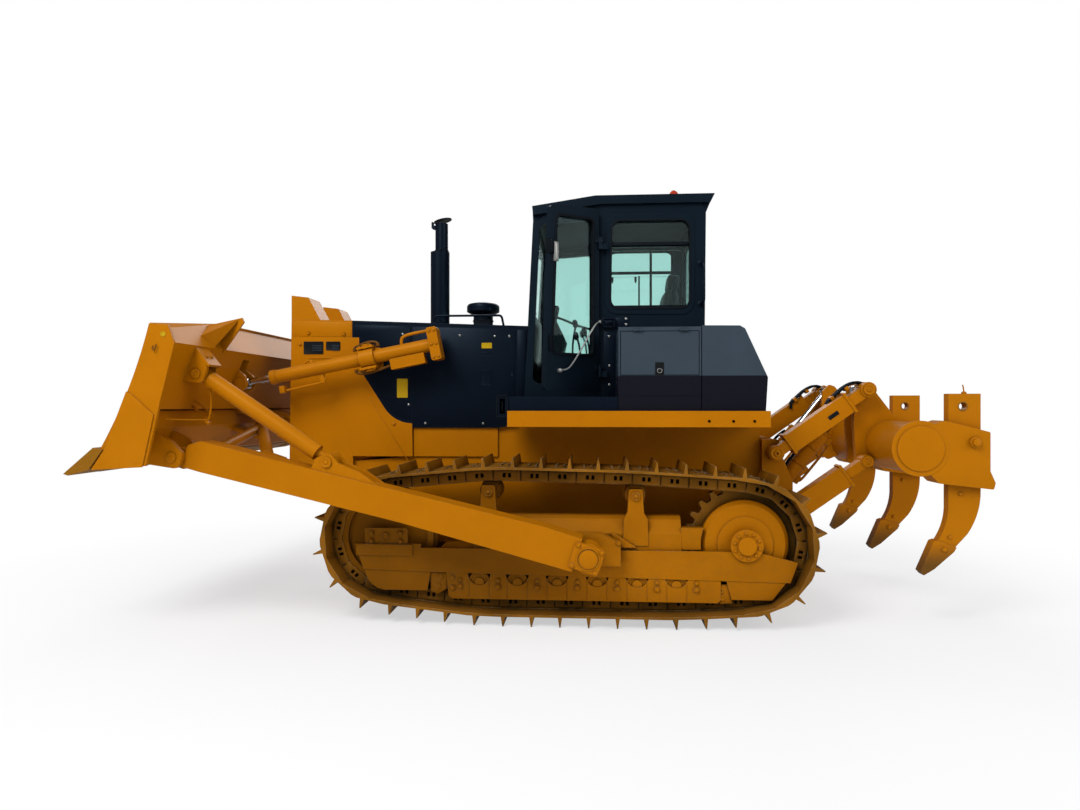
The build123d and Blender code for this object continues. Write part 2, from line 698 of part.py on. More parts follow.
def door_and_glass():
    """Closed left door lapped over the cab's side, and its pane."""
    x, y = DOOR_AXIS
    y0, y1 = CAB_HALF + DOOR_GAP, CAB_HALF + DOOR_GAP + DOOR_T
    path = rounded([(x + 5, 1785), (1712, 1785), (1650, 3212), (1560, 3238), (x + 5, 3284)], 25)
    hole = rounded([(x + 62, 2065), (1640, 2065), (1590, 3165), (x + 62, 3195)], 60)
    door = prism(path, y0, y1) - prism(hole, y0 - 5, y1 + 5)
    for z in HINGE_Z:
        door = door - cyl((x, y, z - 56), (x, y, z + 52), 26)
        door = door + (box(x + 5, x + 60, y1 - 5, y + 5, z, z + 48) + cyl((x, y, z), (x, y, z + 48), 20))
        door = door - cyl((x, y, z - 1), (x, y, z + 60), 12 + PIN_GAP)
    return door, prism(hole, y0 + 14, y0 + 20)


def doors():
    door, glass = door_and_glass()
    axis = Axis((DOOR_AXIS[0], DOOR_AXIS[1], 0), (0, 0, 1))
    add("door_left", door.rotate(axis, DOOR_DEG))
    add("door_left_glass", glass.rotate(axis, DOOR_DEG))
    add("door_right", door.mirror(Plane.XZ))
    add("door_right_glass", glass.mirror(Plane.XZ))


def operator_station():
    seat = box(560, 1020, -240, 240, 1735, 2010) + box(520, 1060, -270, 270, 2010, 2130)
    seat = seat + prism([(440, 2080), (570, 2130), (470, 2800), (370, 2790)], -250, 250)
    dash = prism([(1400, 1735), (1600, 1735), (1600, 2380), (1480, 2380), (1400, 2200)], -300, 300)
    return [seat, dash]


def cab():
    add("cab_body", cab_body())
    add("cab_roof", cab_roof())
    add("cab_glass", *cab_glass())
    add("operator_station", *operator_station())
    lens = cyl((440, 200, 3402), (440, 200, 3520), 48)
    add("beacon", lens + cone((440, 200, 3520), (440, 200, 3571), 48, 20))
    doors()


# ---------------------------------------------------------------- blade group

def fork_sides():
    """Y ranges of the two fork plates that hold the left arm's front end."""
    inner, outer = ARM_Y[0] - FORK_GAP, ARM_Y[1] + FORK_GAP
    return (inner - FORK_T, inner), (outer, outer + FORK_T)


def lug_sides(y, half):
    return (y - half - LUG_T, y - half), (y + half, y + half + LUG_T)


def above_top(drop):
    """What lies above the blade's top edge, which is level in the middle and falls towards the ends."""
    x0, x1 = arm(3050, 0)[0], arm(3600, 0)[0]
    level, end, high = [TRUNNION[1] + w - drop for w in (BLADE_TOP, BLADE_END_TOP, BLADE_TOP + 400)]
    mid, far = BLADE_HALF * 0.47, BLADE_HALF + 20
    half = [(mid, level), (far, end), (far, high)]
    return lengthwise([(-y, z) for y, z in reversed(half)] + half, x0, x1)


def blade():
    """Mouldboard, box beams across its back, end plates, ears, and the lugs of rods, struts and arms."""
    face = [arm(3436, BLADE_TOP), arm(3434, 635), (arm(3440, 100), arm(3530, -440)), arm(3506, -440),
            (arm(3416, 100), arm(3410, 635)), arm(3412, BLADE_TOP)]
    beam = [arm(3425, 728), arm(3425, 60), arm(3250, 60), arm(*RIDGE)]
    beam_room = [arm(3402, 681), arm(3402, 84), arm(3271, 84), arm(RIDGE[0] + 23, RIDGE[1] - 10)]
    foot = [arm(3425, 62), arm(3330, 20), arm(3300, -100), arm(3310, -330), arm(3505, -425)]
    foot_room = [arm(3412, 34), arm(3349, 4), arm(3323, -98), arm(3332, -314), arm(3480, -386)]
    y = BLADE_HALF - 20
    shell = prism(face, -y, y) + prism(beam, -y, y) + prism(foot, -y, y) - above_top(0)
    out = shell - (prism(beam_room, -y + 1, y - 1) - above_top(PLATE_T)) - prism(foot_room, -y + 1, y - 1)
    end = [arm(3434, 635), (arm(3440, 100), arm(3530, -440)), arm(3515, -475), arm(3148, -325),
           arm(3190, 150), arm(3215, 560), arm(3300, 668)]
    corner = [arm(3440, 129), arm(3402, 125), arm(3200, 37), arm(3185, -113), arm(3165, -339),
              arm(3515, -475), arm(3467, -311)]
    fork = rounded([(3490, -110, 0), (3150, -150), (3032, -215), (3036, -330), (3260, -368),
                    (3490, -395, 0)], 45)
    rod_lug = rounded([(3300, 440, 0), (3150, 385), (3100, 309), (3150, 225), (3300, 180, 0)], 50)
    strut_lug = rounded([(3300, 530, 0), (3215, 530), (3085, 445), (3085, 315), (3200, 290),
                         (3300, 290, 0)], 45)
    strut_top = [arm(3300, 552), arm(3213, 552), arm(3072, 462), arm(3082, 444), arm(3215, 528),
                 arm(3300, 528)]
    ex, ez = arm(*LIFT_EYE)
    for s in (1, -1):
        out = out + prism(end, *sorted((s * (BLADE_HALF - 34), s * (BLADE_HALF - 10))))
        out = out + prism(corner, *sorted((s * (BLADE_HALF - 11), s * BLADE_HALF)))
        for a, b in fork_sides():
            out = out + prism([place(q) for q in fork], *sorted((s * a, s * b)))
        # the rod's lugs, and behind them a boxed notch that leaves the rod's eye its swing
        a, b = sorted((s * (LIFT_Y - ROD_LUG_HALF), s * (LIFT_Y + ROD_LUG_HALF)))
        out = out + prism([arm(3246, 165), arm(3330, 165), arm(3330, 525), arm(3219, 525)], a - 18, b + 18)
        out = out - prism([arm(3100, 190), arm(3306, 190), arm(3306, 500), arm(3100, 500)], a, b)
        for a, b in lug_sides(LIFT_Y, ROD_LUG_HALF):
            out = out + prism([place(q) for q in rod_lug], *sorted((s * a, s * b)))
        for a, b in lug_sides(LIFT_Y, ROD_LUG_HALF + 8):
            out = out + cyl((ex, s * a, ez), (ex, s * b, ez), 42)
        # the strut's lugs under their cover plate
        for a, b in lug_sides(STRUT_Y, LUG_HALF):
            out = out + prism([place(q) for q in strut_lug], *sorted((s * a, s * b)))
        top = (STRUT_Y - LUG_HALF - LUG_T, STRUT_Y + LUG_HALF + LUG_T)
        out = out + prism(strut_top, *sorted((s * top[0], s * top[1])))
        # bracket in the middle for the braces' apex
        for w0, w1 in ((10, 40), (-160, -130)):
            bracket = [arm(3350, w0), arm(3350, w1), arm(3030, w1), arm(3030, w0)]
            y0 = BRACE_APEX[2]
            out = out + prism(bracket, *sorted((s * (y0 - 110), s * (y0 + 110))))
        out = out + ear(s)
    x, z = arm(*STRUT_HEAD)
    ax, az = arm(*ARM_PIN)
    bx, bz = arm(*BRACE_APEX[:2])
    for s in (1, -1):
        out = out - cyl((x, s * (STRUT_Y - 120), z), (x, s * (STRUT_Y + 120), z), STRUT_PIN_R + PIN_GAP)
        y = s * BRACE_APEX[2]
        out = out - cyl((bx, y, bz - 130), (bx, y, bz + 130), STRUT_PIN_R + PIN_GAP)
        a, b = fork_sides()[0][0] - 12, fork_sides()[1][1] + 12
        out = out + cyl((ax, s * a, az), (ax, s * b, az), ARM_PIN_R)
    return lifted(out - edge_bars())


def place(step):
    """A step of an outline in the blade group's own drawing, moved to the machine."""
    if isinstance(step[0], tuple):
        return arm(*step[0]), arm(*step[1])
    return arm(*step)


def ear(s):
    """Folded guard that rises behind the blade's top edge, above the arm."""
    def at(u, w, y):
        x, z = arm(u, w)
        return (x, s * y, z)
    web = prism([arm(3424, 690), arm(3143, 850), arm(3118, 822), arm(3206, 540), arm(3300, 560)],
                *sorted((s * 1150, s * 1166)))
    tip, edge, low, back = at(3162, 822, 1160), at(3400, 680, 1160), at(3300, 612, 1395), at(3226, 545, 1295)
    out = web
    for corners in ((tip, edge, low), (tip, low, back)):
        out = out + fin(*corners, 16)
    return out


def edge_bars():
    """The cutting edge between its two thicker end bits."""
    middle = [arm(3500, -350), arm(3534, -352), arm(3682, -560), arm(3660, -566), arm(3500, -440)]
    bit = [arm(3476, -314), arm(3545, -319), arm(3697, -564), arm(3660, -564), arm(3529, -479)]
    out = prism(middle, -BLADE_HALF + 330, BLADE_HALF - 330)
    for y0, y1 in pair(BLADE_HALF - 331, BLADE_HALF + 6):
        out = out + prism(bit, y0, y1)
    return out


def cutting_edge():
    return lifted(edge_bars())


def push_arm():
    """Box section arm with its trunnion bearing, front lug and the strut's bracket."""
    path = [arm(3043, -150), arm(2963, -94), arm(1583, 15), arm(362, 119), arm(83, 122), arm(83, -123),
            arm(1364, -186), arm(2893, -311), arm(3043, -318)]
    room = [arm(3021, -170), arm(2950, -116), arm(1580, -8), arm(362, 97), arm(160, 98), arm(160, -100),
            arm(1364, -162), arm(2890, -287), arm(3021, -294)]
    y0, y1 = ARM_Y
    x, z = TRUNNION
    out = prism(path, y0, y1) - prism(room, y0 + 22, y1 - 22)
    lug = rounded([(3030, -190, 0), (3130, -190), (3180, -264), (3130, -334), (3030, -334, 0)], 40)
    out = out + prism([place(q) for q in lug], y0 + 20, y1 - 20)
    px, pz = arm(*ARM_PIN)
    out = out - cyl((px, y0, pz), (px, y1, pz), ARM_PIN_R + PIN_GAP)
    cap = rounded([(x - 98, z - 95), (x + 120, z - 95), (x + 120, z + 95), (x - 98, z + 95)], 14)
    out = out + cyl((x, y0 + 20, z), (x, y1, z), 108) + prism(cap, y1 - 90, y1 + 10)
    out = out - cyl((x, y0 - 50, z), (x, y1 + 30, z), 70.06)
    fx, fz = STRUT_FOOT
    bracket = rounded([(1583, 10, 0), (1760, 62), (1930, 75), (fx, fz + 72), (fx + 80, fz + 10),
                       (fx + 100, -40, 0)], 30)
    hole = [(*arm(fx, fz), STRUT_PIN_R + PIN_GAP)]
    for a, b in lug_sides(STRUT_Y, LUG_HALF):
        out = out + prism([place(q) for q in bracket], a, b, hole)
    return lifted(out)


def strut():
    """Tilt strut between the arm's bracket and the blade's upper lugs."""
    lo, hi = arm(*STRUT_FOOT), arm(*STRUT_HEAD)
    d = math.dist(lo, hi)
    ux, uz = (hi[0] - lo[0]) / d, (hi[1] - lo[1]) / d

    def at(t):
        return (lo[0] + ux * t, STRUT_Y, lo[1] + uz * t)
    out = cyl(at(0), at(140), 34) + cyl(at(118), at(d - 70), 62) + cyl(at(d - 71), at(d), 45)
    half = LUG_HALF - 1
    for (x, z), r in ((lo, 58), (hi, 54)):
        out = out + cyl((x, STRUT_Y - half, z), (x, STRUT_Y + half, z), r)
        reach = half + LUG_T + 12
        out = out + cyl((x, STRUT_Y - reach, z), (x, STRUT_Y + reach, z), STRUT_PIN_R)
    return lifted(out)


def brace():
    """Two tubes from the arm's inner side to an eye at the blade's middle."""
    (px, pz), py = arm(*BRACE_APEX[:2]), BRACE_APEX[2]
    wall = ARM_Y[0]
    out = cyl((px, py, pz - 68), (px, py, pz + 68), 62)
    out = out + cyl((px, py, pz - 112), (px, py, pz + 112), STRUT_PIN_R)
    for u, w, r in ((2920, -180, 42), (2480, -120, 48)):
        qx, qz = arm(u, w)
        out = out + cyl((px, py, pz), (qx, wall + 40, qz), r)
        out = out + box(qx - 95, qx + 80, wall - 22, wall, qz - 75, qz + 75)
    return lifted(out - box(px - 900, px + 200, wall, wall + 200, pz - 400, pz + 400))


def blade_group():
    add("blade", blade())
    add("cutting_edge", cutting_edge())
    add("push_arms", *both(push_arm()))
    add("tilt_struts", *both(strut()))
    add("arm_braces", *both(brace()))


# ---------------------------------------------------------------- lift cylinders

def lift_line():
    ex, ez = arm_at(*LIFT_EYE)
    d = math.hypot(ex - YOKE[0], ez - YOKE[1])
    return (ex - YOKE[0]) / d, (ez - YOKE[1]) / d, d


def lift_barrel():
    """Barrel in its yoke ring, with the ring's caps, the head block and the guard over the ports."""
    ux, uz, d = lift_line()

    def at(t, n=0.0):
        return (YOKE[0] + ux * t - uz * n, YOKE[1] + uz * t + ux * n)

    def round_bar(t0, t1, r, n=0.0):
        (x0, z0), (x1, z1) = at(t0, n), at(t1, n)
        return cyl((x0, LIFT_Y, z0), (x1, LIFT_Y, z1), r)

    def block(t0, t1, n0, n1, half, r):
        path = rounded([at(t0, n0), at(t0, n1), at(t1, n1), at(t1, n0)], r)
        return prism(path, LIFT_Y - half, LIFT_Y + half)
    out = round_bar(-560, 848, BARREL_R) + round_bar(800, 850, BARREL_R + 6)
    out = out + round_bar(-62, 62, BARREL_R + 26) + block(-625, -540, -135, 140, 75, 18)
    (x0, z0), (x1, z1) = at(0, -115), at(0, 115)
    out = out + cyl((x0, LIFT_Y, z0), (x1, LIFT_Y, z1), 42) + block(-480, -185, -140, -50, 45, 8)
    out = out + block(-70, 70, 78, 96, 60, 8) + block(-70, 70, -96, -78, 60, 8)
    out = out + cyl((YOKE[0], BRACKET_Y, YOKE[1]), (YOKE[0], LIFT_Y - 40, YOKE[1]), JOURNAL_R)
    return out - round_bar(-500, 900, ROD_R + 0.5)


def lift_rod():
    ux, uz, d = lift_line()

    def at(t):
        return (YOKE[0] + ux * t, LIFT_Y, YOKE[1] + uz * t)
    out = cyl(at(-250), at(d - 40), ROD_R)
    ex, ez = arm_at(*LIFT_EYE)
    out = out + cyl((ex, LIFT_Y - ROD_EYE_HALF, ez), (ex, LIFT_Y + ROD_EYE_HALF, ez), 56)
    return out - cyl((ex, LIFT_Y - 80, ez), (ex, LIFT_Y + 80, ez), 30)


def yoke_bracket():
    x, z = YOKE
    path = rounded([(x - 75, z - 100), (x + 150, z - 100), (x + 150, z + 100), (x - 75, z + 100)], 30)
    out = prism(path, GUARD_OUT, BRACKET_Y) + cyl((x, BRACKET_Y - 1, z), (x, BRACKET_Y + 55, z), 78)
    return out - cyl((x, GUARD_OUT - 20, z), (x, BRACKET_Y + 90, z), JOURNAL_R + PIN_GAP)


def lift_group():
    add("lift_barrels", *both(lift_barrel()))
    add("lift_rods", *both(lift_rod()))
    add("lift_brackets", *both(yoke_bracket()))


# ---------------------------------------------------------------- ripper

def link(p, q, r, box_half, gap_p, gap_q):
    """Box girder link between two pins, narrower at its knuckles; gap_p and gap_q are where its box begins."""
    y0, y1 = LINK_Y
    d = math.dist(p, q)
    ux, uz = (q[0] - p[0]) / d, (q[1] - p[1]) / d

    def at(t, n):
        return (p[0] + ux * t - uz * n, p[1] + uz * t + ux * n)
    neck = 0.72 * r
    out = prism([at(0, -neck), at(0, neck), at(d, neck), at(d, -neck)], y0 + 12, y1 - 12)
    girder = rounded([at(gap_p, -box_half), at(gap_p, box_half), at(d - gap_q, box_half),
                      at(d - gap_q, -box_half)], 14)
    out = out + prism(girder, y0, y1)
    for t in (gap_p, d - gap_q - 22):
        if t > 0:
            h = box_half + 12
            cap = [at(t, -h), at(t, h), at(t + 22, h), at(t + 22, -h)]
            out = out + prism(cap, y0, y1 + 6)
    for x, z in (p, q):
        out = out + cyl((x, y0, z), (x, y1, z), r)
    return out


def ripper_mount():
    """Bracket plates on the back of the rear case, with the pins of links and cylinders."""
    side = rounded([(-250, 600, 0), (-360, 600), (-400, 650), (-400, 740), (-500, 900), (-500, 1040),
                    (-420, 1230), (-410, 1340), (-380, 1386), (-250, 1386, 0)], 30)
    out = box(-310, -250, -480, 480, 620, 1400)
    for s in (1, -1):
        for y0, y1 in (LUG_OUTER, LUG_INNER):
            out = out + prism(side, *sorted((s * y0, s * y1)))
        for (x, z), r in ((RIP_UP_F, 45), (RIP_LO_F, 45)):
            out = out + cyl((x, s * 500, z), (x, s * 700, z), r)
        x, z = RIP_CYL_F
        out = out + cyl((x, s * 330, z), (x, s * 520, z), 35)
        out = out + box(-310, -250, *sorted((s * 480, s * 500)), 620, 1386)
    return out


def ripper_links():
    """Upper links and lower arms, each bored for its pins."""
    y0, y1 = LINK_Y
    up = link(RIP_UP_F, RIP_UP_B, 62, 80, 120, 170)
    for x, z in (RIP_UP_F, RIP_UP_B):
        up = up - cyl((x, y0 - 5, z), (x, y1 + 5, z), 45.06)
    lo = link(RIP_LO_F, RIP_LO_B, 52, 86, 0, 190)
    for (x, z), r in ((RIP_LO_F, 45.06), (RIP_LO_B, 35.06)):
        lo = lo - cyl((x, y0 - 5, z), (x, y1 + 5, z), r)
    return up, lo


def ripper_beam():
    """Tube with end collars, lug plates for links and cylinders, and the three shank pockets."""
    x, z, r = BEAM
    out = cyl((x, -BEAM_HALF, z), (x, BEAM_HALF, z), r)
    for y0, y1 in pair(BEAM_HALF - 30, BEAM_HALF):
        out = out + cyl((x, y0, z), (x, y1, z), r + 13)
    for y0, y1 in pair(BEAM_HALF - 1, BEAM_HALF + 9):
        out = out + cyl((x, y0, z), (x, y1, z), r - 26)
    out = out - cyl((x, -BEAM_HALF + 30, z), (x, BEAM_HALF - 30, z), r - 30)
    side = rounded([(-1057, 1160), (-1005, 1190), (-1010, 1260), (-990, 1500), (-1005, 1800), (-1066, 1862),
                    (-1115, 1845), (-1360, 1520), (-1276, 1346), (-1150, 1200)], 18)
    pocket = rounded([(-1449, 1554), (-1775, 1470), (-1775, 1180), (-1812, 1095), (-1800, 1045),
                      (-1412, 1087), (-1350, 1150), (-1300, 1500)], 14)
    for s in (1, -1):
        for y0, y1 in (LUG_OUTER, LUG_INNER):
            a, b = sorted((s * y0, s * y1))
            out = out + (prism(side, a, b) - cyl((x, a - 5, z), (x, b + 5, z), r - 20))
        for (px, pz), rr in ((RIP_UP_B, 45), (RIP_LO_B, 35)):
            out = out + cyl((px, s * 500, pz), (px, s * 700, pz), rr)
    for y in SHANK_Y:
        walls = prism(pocket, y - 105, y + 105) - cyl((x, y - 200, z), (x, y + 200, z), r - 20)
        slot = box(SHANK_X[1], SHANK_X[0], y - SHANK_HALF, y + SHANK_HALF, 900, 1700)
        out = out + (walls - slot)
        out = out + cyl((-1660, y + 104, 1395), (-1660, y + 122, 1395), 36)
    return out


def shank(y):
    """Curved shank with its pinned tooth, and the bore in its head."""
    front, back = SHANK_X
    path = [(front, 1755), (back, 1755), (back, 1000), ((-1712, 850), (-1640, 700)), (-1556, 606),
            (-1428, 650), ((-1487, 780), (front, 920))]
    tooth = [(-1562, 604), (-1545, 572), (-1400, 440), (-1325, 392), (-1300, 420), (-1395, 645),
             (-1425, 655)]
    out = prism(path, y - SHANK_HALF, y + SHANK_HALF) + prism(tooth, y - SHANK_HALF - 8, y + SHANK_HALF + 8)
    return out - cyl((-1610, y - 60, 1660), (-1610, y + 60, 1660), 28)


def ripper_barrel():
    d = math.dist(RIP_CYL_F, RIP_UP_B)
    ux, uz = (RIP_UP_B[0] - RIP_CYL_F[0]) / d, (RIP_UP_B[1] - RIP_CYL_F[1]) / d

    def at(t):
        return (RIP_CYL_F[0] + ux * t, RIP_CYL_Y, RIP_CYL_F[1] + uz * t)
    out = cyl(at(50), at(590), 66) + cyl((RIP_CYL_F[0], RIP_CYL_Y - 45, RIP_CYL_F[1]),
                                         (RIP_CYL_F[0], RIP_CYL_Y + 45, RIP_CYL_F[1]), 62)
    out = out - cyl(at(80), at(600), 32.5)
    return out - cyl((RIP_CYL_F[0], RIP_CYL_Y - 60, RIP_CYL_F[1]),
                     (RIP_CYL_F[0], RIP_CYL_Y + 60, RIP_CYL_F[1]), 35.06)


def ripper_rod():
    d = math.dist(RIP_CYL_F, RIP_UP_B)
    ux, uz = (RIP_UP_B[0] - RIP_CYL_F[0]) / d, (RIP_UP_B[1] - RIP_CYL_F[1]) / d

    def at(t):
        return (RIP_CYL_F[0] + ux * t, RIP_CYL_Y, RIP_CYL_F[1] + uz * t)
    out = cyl(at(475), at(d - 20), 32)
    x, z = RIP_UP_B
    out = out + cyl((x, RIP_CYL_Y - 35, z), (x, RIP_CYL_Y + 35, z), 52)
    return out - cyl((x, RIP_CYL_Y - 50, z), (x, RIP_CYL_Y + 50, z), 28)


def ripper():
    add("ripper_mount", ripper_mount())
    up, lo = ripper_links()
    add("ripper_links", *both(up))
    add("ripper_arms", *both(lo))
    add("ripper_beam", ripper_beam())
    add("ripper_shanks", *[shank(y) for y in SHANK_Y])
    add("ripper_barrels", *both(ripper_barrel()))
    add("ripper_rods", *both(ripper_rod()))


def write():
    os.makedirs("parts", exist_ok=True)
    for name, shapes in NODES.items():
        solids = [s.moved(Location((SHIFT_X, 0, 0))) for shape in shapes for s in shape.solids()]
        body = solids[0] if len(solids) == 1 else Compound(children=solids)
        export_step(body, f"parts/{name}.step")
        b = body.bounding_box()
        print(f"{name}: {len(solids)} solids X {b.min.X:.0f} {b.max.X:.0f} Y {b.min.Y:.0f} {b.max.Y:.0f} "
              f"Z {b.min.Z:.0f} {b.max.Z:.0f}")


undercarriage()
hull()
decks()
cab()
blade_group()
lift_group()
ripper()
write()
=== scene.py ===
"""Looks of the crawler bulldozer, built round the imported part. Metres, in the part's own frame."""

import json
import math
from contextlib import contextmanager

import bmesh
import bpy
from mathutils import Matrix, Vector


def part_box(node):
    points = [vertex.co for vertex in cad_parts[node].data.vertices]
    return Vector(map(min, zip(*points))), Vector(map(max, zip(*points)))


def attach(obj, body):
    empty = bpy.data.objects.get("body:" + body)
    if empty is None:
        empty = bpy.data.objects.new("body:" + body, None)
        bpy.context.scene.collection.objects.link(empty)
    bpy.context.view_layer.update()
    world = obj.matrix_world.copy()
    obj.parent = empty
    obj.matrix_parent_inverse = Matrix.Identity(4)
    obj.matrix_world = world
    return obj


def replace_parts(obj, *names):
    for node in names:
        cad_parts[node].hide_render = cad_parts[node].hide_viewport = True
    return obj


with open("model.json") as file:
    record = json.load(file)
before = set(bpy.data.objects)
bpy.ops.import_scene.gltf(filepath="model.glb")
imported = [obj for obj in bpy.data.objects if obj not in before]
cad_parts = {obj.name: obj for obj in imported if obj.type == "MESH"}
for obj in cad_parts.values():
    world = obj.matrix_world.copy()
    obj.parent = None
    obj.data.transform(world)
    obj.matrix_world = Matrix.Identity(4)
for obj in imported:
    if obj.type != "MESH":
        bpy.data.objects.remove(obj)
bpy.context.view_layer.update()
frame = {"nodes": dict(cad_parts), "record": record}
nodes = frame["nodes"]

# Places are (x, z) in millimetres, with x counted from the sprocket's axis, and y is given apart.
SPROCKET_X = -1.5255            # the sprocket's axis in the part's frame, in metres
LIFTED = math.radians(18)       # how far the blade group stands raised about its trunnion
TRUNNION = (1184, 578)
YOKE, ROD_EYE, LIFT_Y = (3033, 2065), (4107.2, 1852.7), 720
GUARD_OUT, CAB_SIDE, DECK_EDGE = 520, 660, 1200     # y of the outer faces
LEFT, RIGHT, UP, DOWN = (0, 1, 0), (0, -1, 0), (0, 0, 1), (0, 0, -1)
FORWARD, BACK = (1, 0, 0), (-1, 0, 0)
SHARP = math.radians(35)        # edges sharper than this are rounded, flatter ones are shaded smooth


def spot(x, y, z):
    """Millimetres, with x counted from the sprocket's axis, as a point in the part's frame."""
    return Vector((x / 1000 + SPROCKET_X, y / 1000, z / 1000))


def blade_spot(u, y, w):
    """The same for the blade group's own drawing, with the blade on the ground."""
    x = TRUNNION[0] + u * math.cos(LIFTED) - w * math.sin(LIFTED)
    return spot(x, y, TRUNNION[1] + u * math.sin(LIFTED) + w * math.cos(LIFTED))


def along(start, end, t, n, y):
    """The point t along the line from start to end and n across it, both (x, z)."""
    d = math.dist(start, end)
    ux, uz = (end[0] - start[0]) / d, (end[1] - start[1]) / d
    return spot(start[0] + ux * t - uz * n, y, start[1] + uz * t + ux * n)


def lean_of(start, end):
    """Degrees by which the line from start to end leans up from +X."""
    return math.degrees(math.atan2(end[1] - start[1], end[0] - start[0]))


# ------------------------------------------------------------------ materials

SOFT_EDGE, WORN_EDGE = 0.004, 0.006     # metres round an edge that catch light, and that wear bare
HOLLOW_REACH = 0.12                     # metres within which a corner is darkened by painted shade
WEATHERING_SOCKETS = (
    ("INPUT", "Color", ("Paint", "Dust", "Bare")),
    ("INPUT", "Float", ("Patch scale", "Patch strength", "Scuff scale", "Scuff amount", "Grain scale",
                        "Dust amount", "Edge wear", "Base roughness", "Shade")),
    ("OUTPUT", "Color", ("Color",)),
    ("OUTPUT", "Float", ("Roughness", "Height")))


def new_material(name):
    made = bpy.data.materials.new(name)
    made.use_nodes = True
    tree = made.node_tree
    tree.nodes.clear()
    out = tree.nodes.new("ShaderNodeOutputMaterial")
    bsdf = tree.nodes.new("ShaderNodeBsdfPrincipled")
    tree.links.new(bsdf.outputs["BSDF"], out.inputs["Surface"])
    return made, tree, bsdf


def math_node(tree, kind, a, b):
    made = tree.nodes.new("ShaderNodeMath")
    made.operation = kind
    for socket, value in zip(made.inputs, (a, b)):
        if isinstance(value, (int, float)):
            socket.default_value = value
        else:
            tree.links.new(value, socket)
    return made.outputs[0]


def spread(tree, value, low, high, to_low=0.0, to_high=1.0):
    """Smooth step of a value from low to high."""
    made = tree.nodes.new("ShaderNodeMapRange")
    made.interpolation_type = "SMOOTHSTEP"
    tree.links.new(value, made.inputs["Value"])
    for name, number in (("From Min", low), ("From Max", high), ("To Min", to_low), ("To Max", to_high)):
        made.inputs[name].default_value = number
    return made.outputs["Result"]


def blend_colors(tree, factor, a, b):
    made = tree.nodes.new("ShaderNodeMix")
    made.data_type = "RGBA"
    tree.links.new(factor, made.inputs["Factor"])
    for name, value in (("A", a), ("B", b)):
        if isinstance(value, tuple):
            made.inputs[name].default_value = (*value, 1)
        else:
            tree.links.new(value, made.inputs[name])
    return made.outputs["Result"]


def object_place(tree):
    return tree.nodes.new("ShaderNodeTexCoord").outputs["Object"]


def axis_of(tree, vector, axis):
    made = tree.nodes.new("ShaderNodeSeparateXYZ")
    tree.links.new(vector, made.inputs[0])
    return made.outputs[axis]


def rounded_normal(tree, radius):
    made = tree.nodes.new("ShaderNodeBevel")
    made.samples = 4
    made.inputs["Radius"].default_value = radius
    return made.outputs["Normal"]


def relief_of(tree, height, strength, depth):
    """Bump node that reads a height, its depth in metres."""
    made = tree.nodes.new("ShaderNodeBump")
    made.inputs["Strength"].default_value = strength
    made.inputs["Distance"].default_value = depth
    tree.links.new(height, made.inputs["Height"])
    return made


def weathering_group():
    """Paint that drifts in tint, painted shade in hollows and corners, dust on faces that look up and low
    down, scuffs, worn edges, fine grain.
    """
    group = bpy.data.node_groups.new("weathering", "ShaderNodeTree")
    for side, kind, names in WEATHERING_SOCKETS:
        for name in names:
            group.interface.new_socket(name=name, in_out=side, socket_type="NodeSocket" + kind)
    given = group.nodes.new("NodeGroupInput").outputs
    outlet = group.nodes.new("NodeGroupOutput").inputs
    normal = group.nodes.new("ShaderNodeNewGeometry").outputs["Normal"]
    place = object_place(group)
    link = group.links.new

    def noise(scale_name, detail, roughness=0.55):
        made = group.nodes.new("ShaderNodeTexNoise")
        made.inputs["Detail"].default_value = detail
        made.inputs["Roughness"].default_value = roughness
        link(place, made.inputs["Vector"])
        link(given[scale_name], made.inputs["Scale"])
        return made.outputs["Fac"]

    def times(a, b):
        return math_node(group, "MULTIPLY", a, b)

    def plus(a, b):
        return math_node(group, "ADD", a, b)

    def fade(value, *ends):
        return spread(group, value, *ends)

    patch, scuff, grain = noise("Patch scale", 6), noise("Scuff scale", 8, 0.7), noise("Grain scale", 2)

    # painted shade: the paint is darkened where ambient occlusion finds a hollow, as much as Shade asks
    hollow = group.nodes.new("ShaderNodeAmbientOcclusion")
    hollow.samples = 4
    hollow.inputs["Distance"].default_value = HOLLOW_REACH
    hollow_shade = times(fade(hollow.outputs["AO"], 0.85, 0.35), given["Shade"])
    drift = times(math_node(group, "SUBTRACT", fade(patch, 0.3, 0.7), 0.5), given["Patch strength"])
    shade = group.nodes.new("ShaderNodeHueSaturation")
    link(given["Paint"], shade.inputs["Color"])
    link(math_node(group, "SUBTRACT", plus(drift, 1.0), hollow_shade), shade.inputs["Value"])

    lying = times(fade(axis_of(group, normal, "Z"), 0.35, 0.95), fade(patch, 0.25, 0.75, 0.25, 1.0))
    low_down = times(fade(axis_of(group, place, "Z"), 0.2, 1.3, 1.0, 0.0), fade(scuff, 0.35, 0.75))
    dirt = times(math_node(group, "MAXIMUM", lying, low_down), given["Dust amount"])
    color = blend_colors(group, dirt, shade.outputs["Color"], given["Dust"])

    facing = group.nodes.new("ShaderNodeVectorMath")
    facing.operation = "DOT_PRODUCT"
    link(rounded_normal(group, WORN_EDGE), facing.inputs[0])
    link(normal, facing.inputs[1])
    rubbed = times(fade(facing.outputs["Value"], 0.99, 0.8), fade(scuff, 0.4, 0.65))
    rubbed = times(rubbed, given["Edge wear"])
    link(blend_colors(group, rubbed, color, given["Bare"]), outlet["Color"])

    marks = times(fade(scuff, 0.55, 0.8), given["Scuff amount"])
    link(plus(plus(given["Base roughness"], marks), times(dirt, 0.35)), outlet["Roughness"])
    link(plus(times(scuff, 0.6), times(grain, 0.4)), outlet["Height"])
    return group


weathering = weathering_group()


